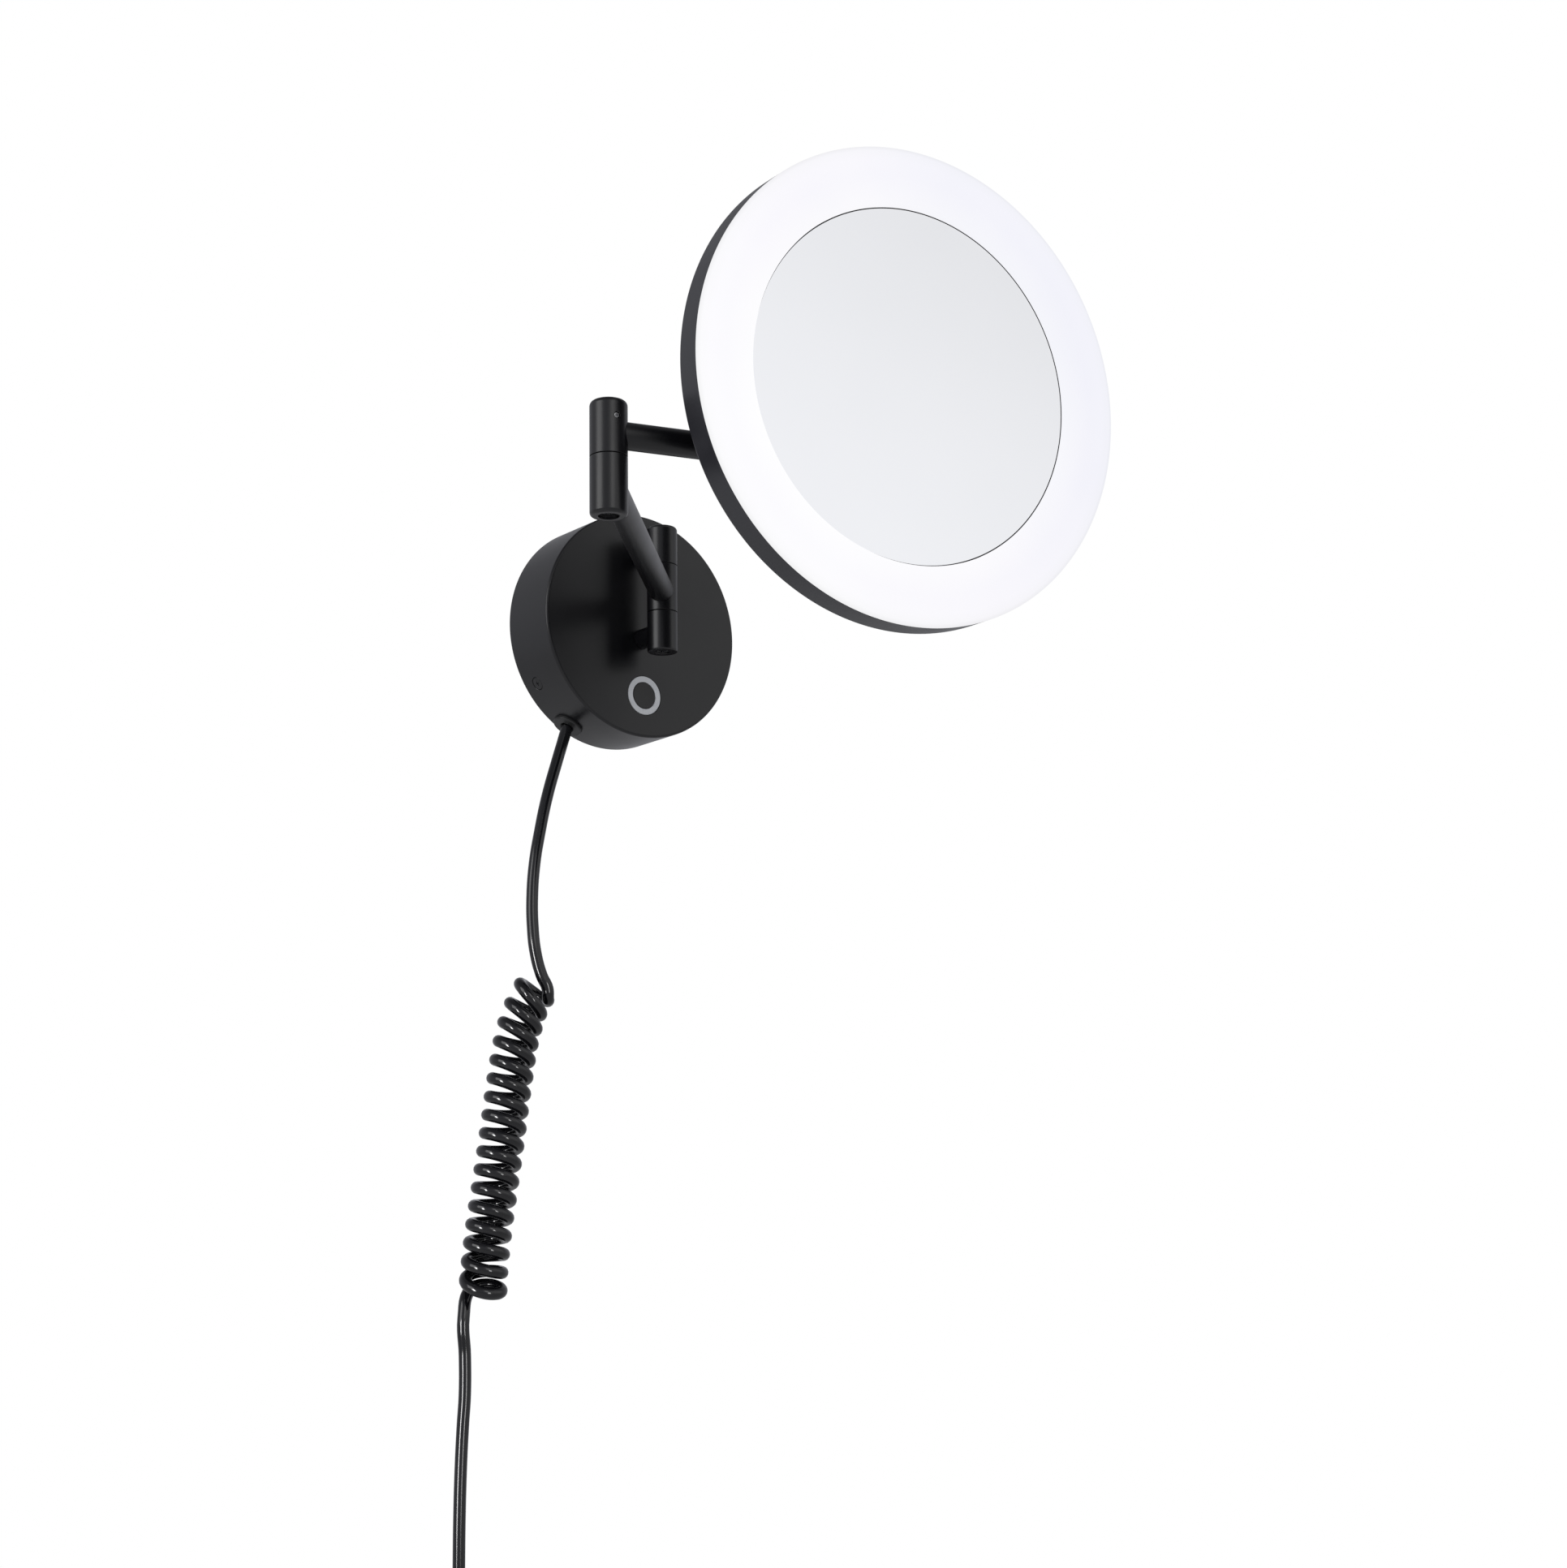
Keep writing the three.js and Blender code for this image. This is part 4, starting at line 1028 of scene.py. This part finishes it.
base_housing()
wall_plate()
side_screws()
touch_switch()
cable_gland()
posts()
wall_knuckle()
arm_tube("arm_1_tube", WALL_AT, ARM_1_Z, ARM_1_HEADING, ARM_1_LENGTH, WALL_KNUCKLE_R, ELBOW_R)
elbow()
arm_tube("arm_2_tube", ELBOW_AT, ARM_2_Z, ARM_2_HEADING, ARM_2_LENGTH, ELBOW_R, HEAD_KNUCKLE_R)
head_knuckle()
tilt_yoke()
tilt_fasteners()
head_housing()
diffuser_ring()
glass = mirror_glass()
mirror_carrier()
plug_pieces = plug()

for node, obj in frame["nodes"].items():
    if not obj.hide_render:
        for place in obj.material_slots:
            place.material = MATERIAL[SLOT[node]]

# ---------------------------------------------------------------- studio light

FLOOR_Z = -0.9
FLOOR_R = 6.0
FLOOR_T = 0.02
TARGET = Vector((-0.02, -0.15, -0.03))


def toward(degrees, elevation):
    """The direction at a heading and an angle above the horizon."""
    rise = math.radians(elevation)
    return heading(degrees) * math.cos(rise) + Vector(UP) * math.sin(rise)


CARD_TOWARD = toward(288, 14)
DOME_LEVELS = (
    (0.20, 0.42), (0.42, 0.50), (0.55, 0.52), (0.68, 0.50), (0.80, 0.38), (0.90, 0.22),
    (1.0, 0.16),
)
CARD_LEVELS = (
    (0.0, 0.62), (0.35, 0.725), (0.48, 0.825), (0.525, 0.880), (0.565, 0.920), (0.75, 1.0),
    (1.0, 0.85),
)


def soft_light(name, degrees, elevation, distance, width, height, radiance, piece, state):
    """A rectangular light on the object; one piece is lit alone, or is the one left out."""
    data = bpy.data.lights.new(name, "AREA")
    data.shape = "RECTANGLE"
    data.size = width
    data.size_y = height
    data.energy = radiance * width * height * math.pi
    light = bpy.data.objects.new(name, data)
    scene.collection.objects.link(light)
    way = toward(degrees, elevation)
    light.matrix_world = aim(TARGET + way * distance, way, (-way.y, way.x, 0))
    light.visible_camera = False
    receivers = bpy.data.collections.new(name)
    receivers.objects.link(piece)
    receivers.collection_objects[0].light_linking.link_state = state
    light.light_linking.receiver_collection = receivers


def studio_world():
    """White for the camera; for the object a grey dome with a white card."""
    world = bpy.data.worlds.new("studio")
    scene.world = world
    world.use_nodes = True
    tree = world.node_tree
    tree.nodes.clear()
    direction = add_node(tree, "TexCoord").outputs["Generated"]
    height = add_node(tree, "SeparateXYZ", Vector=direction).outputs["Z"]
    dome, card = [
        ramp(tree, spread(tree, height, low, high), [
            (position, (level, level * green, level * blue)) for position, level in levels
        ])
        for low, high, levels, green, blue in (
            (-1, 1, DOME_LEVELS, 1.01, 1.08), (0, 0.5, CARD_LEVELS, 1.003, 1.013),
        )
    ]
    facing = worked_out(tree, "VectorMath", "DOT_PRODUCT", direction, CARD_TOWARD)
    seen = mixed(tree, spread(tree, facing, 0.62, 0.84), dome, card)
    ray = add_node(tree, "LightPath").outputs["Is Camera Ray"]
    colour = mixed(tree, ray, seen, (1, 1, 1, 1))
    surface = add_node(tree, "Background", Color=colour, Strength=1.0)
    tree.links.new(surface.outputs["Background"], add_node(tree, "OutputWorld").inputs["Surface"])


def floor():
    """A plain pale floor below the plug."""
    shape = lathe([(0, -FLOOR_T), (FLOOR_R, -FLOOR_T), (FLOOR_R, 0), (0, 0)], 128)
    obj = bpy.data.objects.new("floor", shape)
    scene.collection.objects.link(obj)
    obj.location.z = FLOOR_Z
    shape.materials.append(finish(
        "floor", (0.80, 0.80, 0.80), (0.83, 0.83, 0.83), (0.7, 0.8), patch=2.0, grain=90.0,
        glow=0.10,
    ))


scene.view_settings.view_transform = "Standard"
studio_world()
soft_light("left_softbox", 178, 17, 1.9, 1.05, 1.1, 2.6, glass, "EXCLUDE")
soft_light("front_softbox", 256, 22, 2.1, 0.7, 0.8, 1.5, glass, "EXCLUDE")
soft_light("low_strip", 189.6, -7, 1.42, 0.24, 0.55, 30.0, supply_cord, "INCLUDE")
soft_light("low_card", 264, -6.6, 1.5, 0.30, 0.5, 10.0, supply_cord, "INCLUDE")
floor()
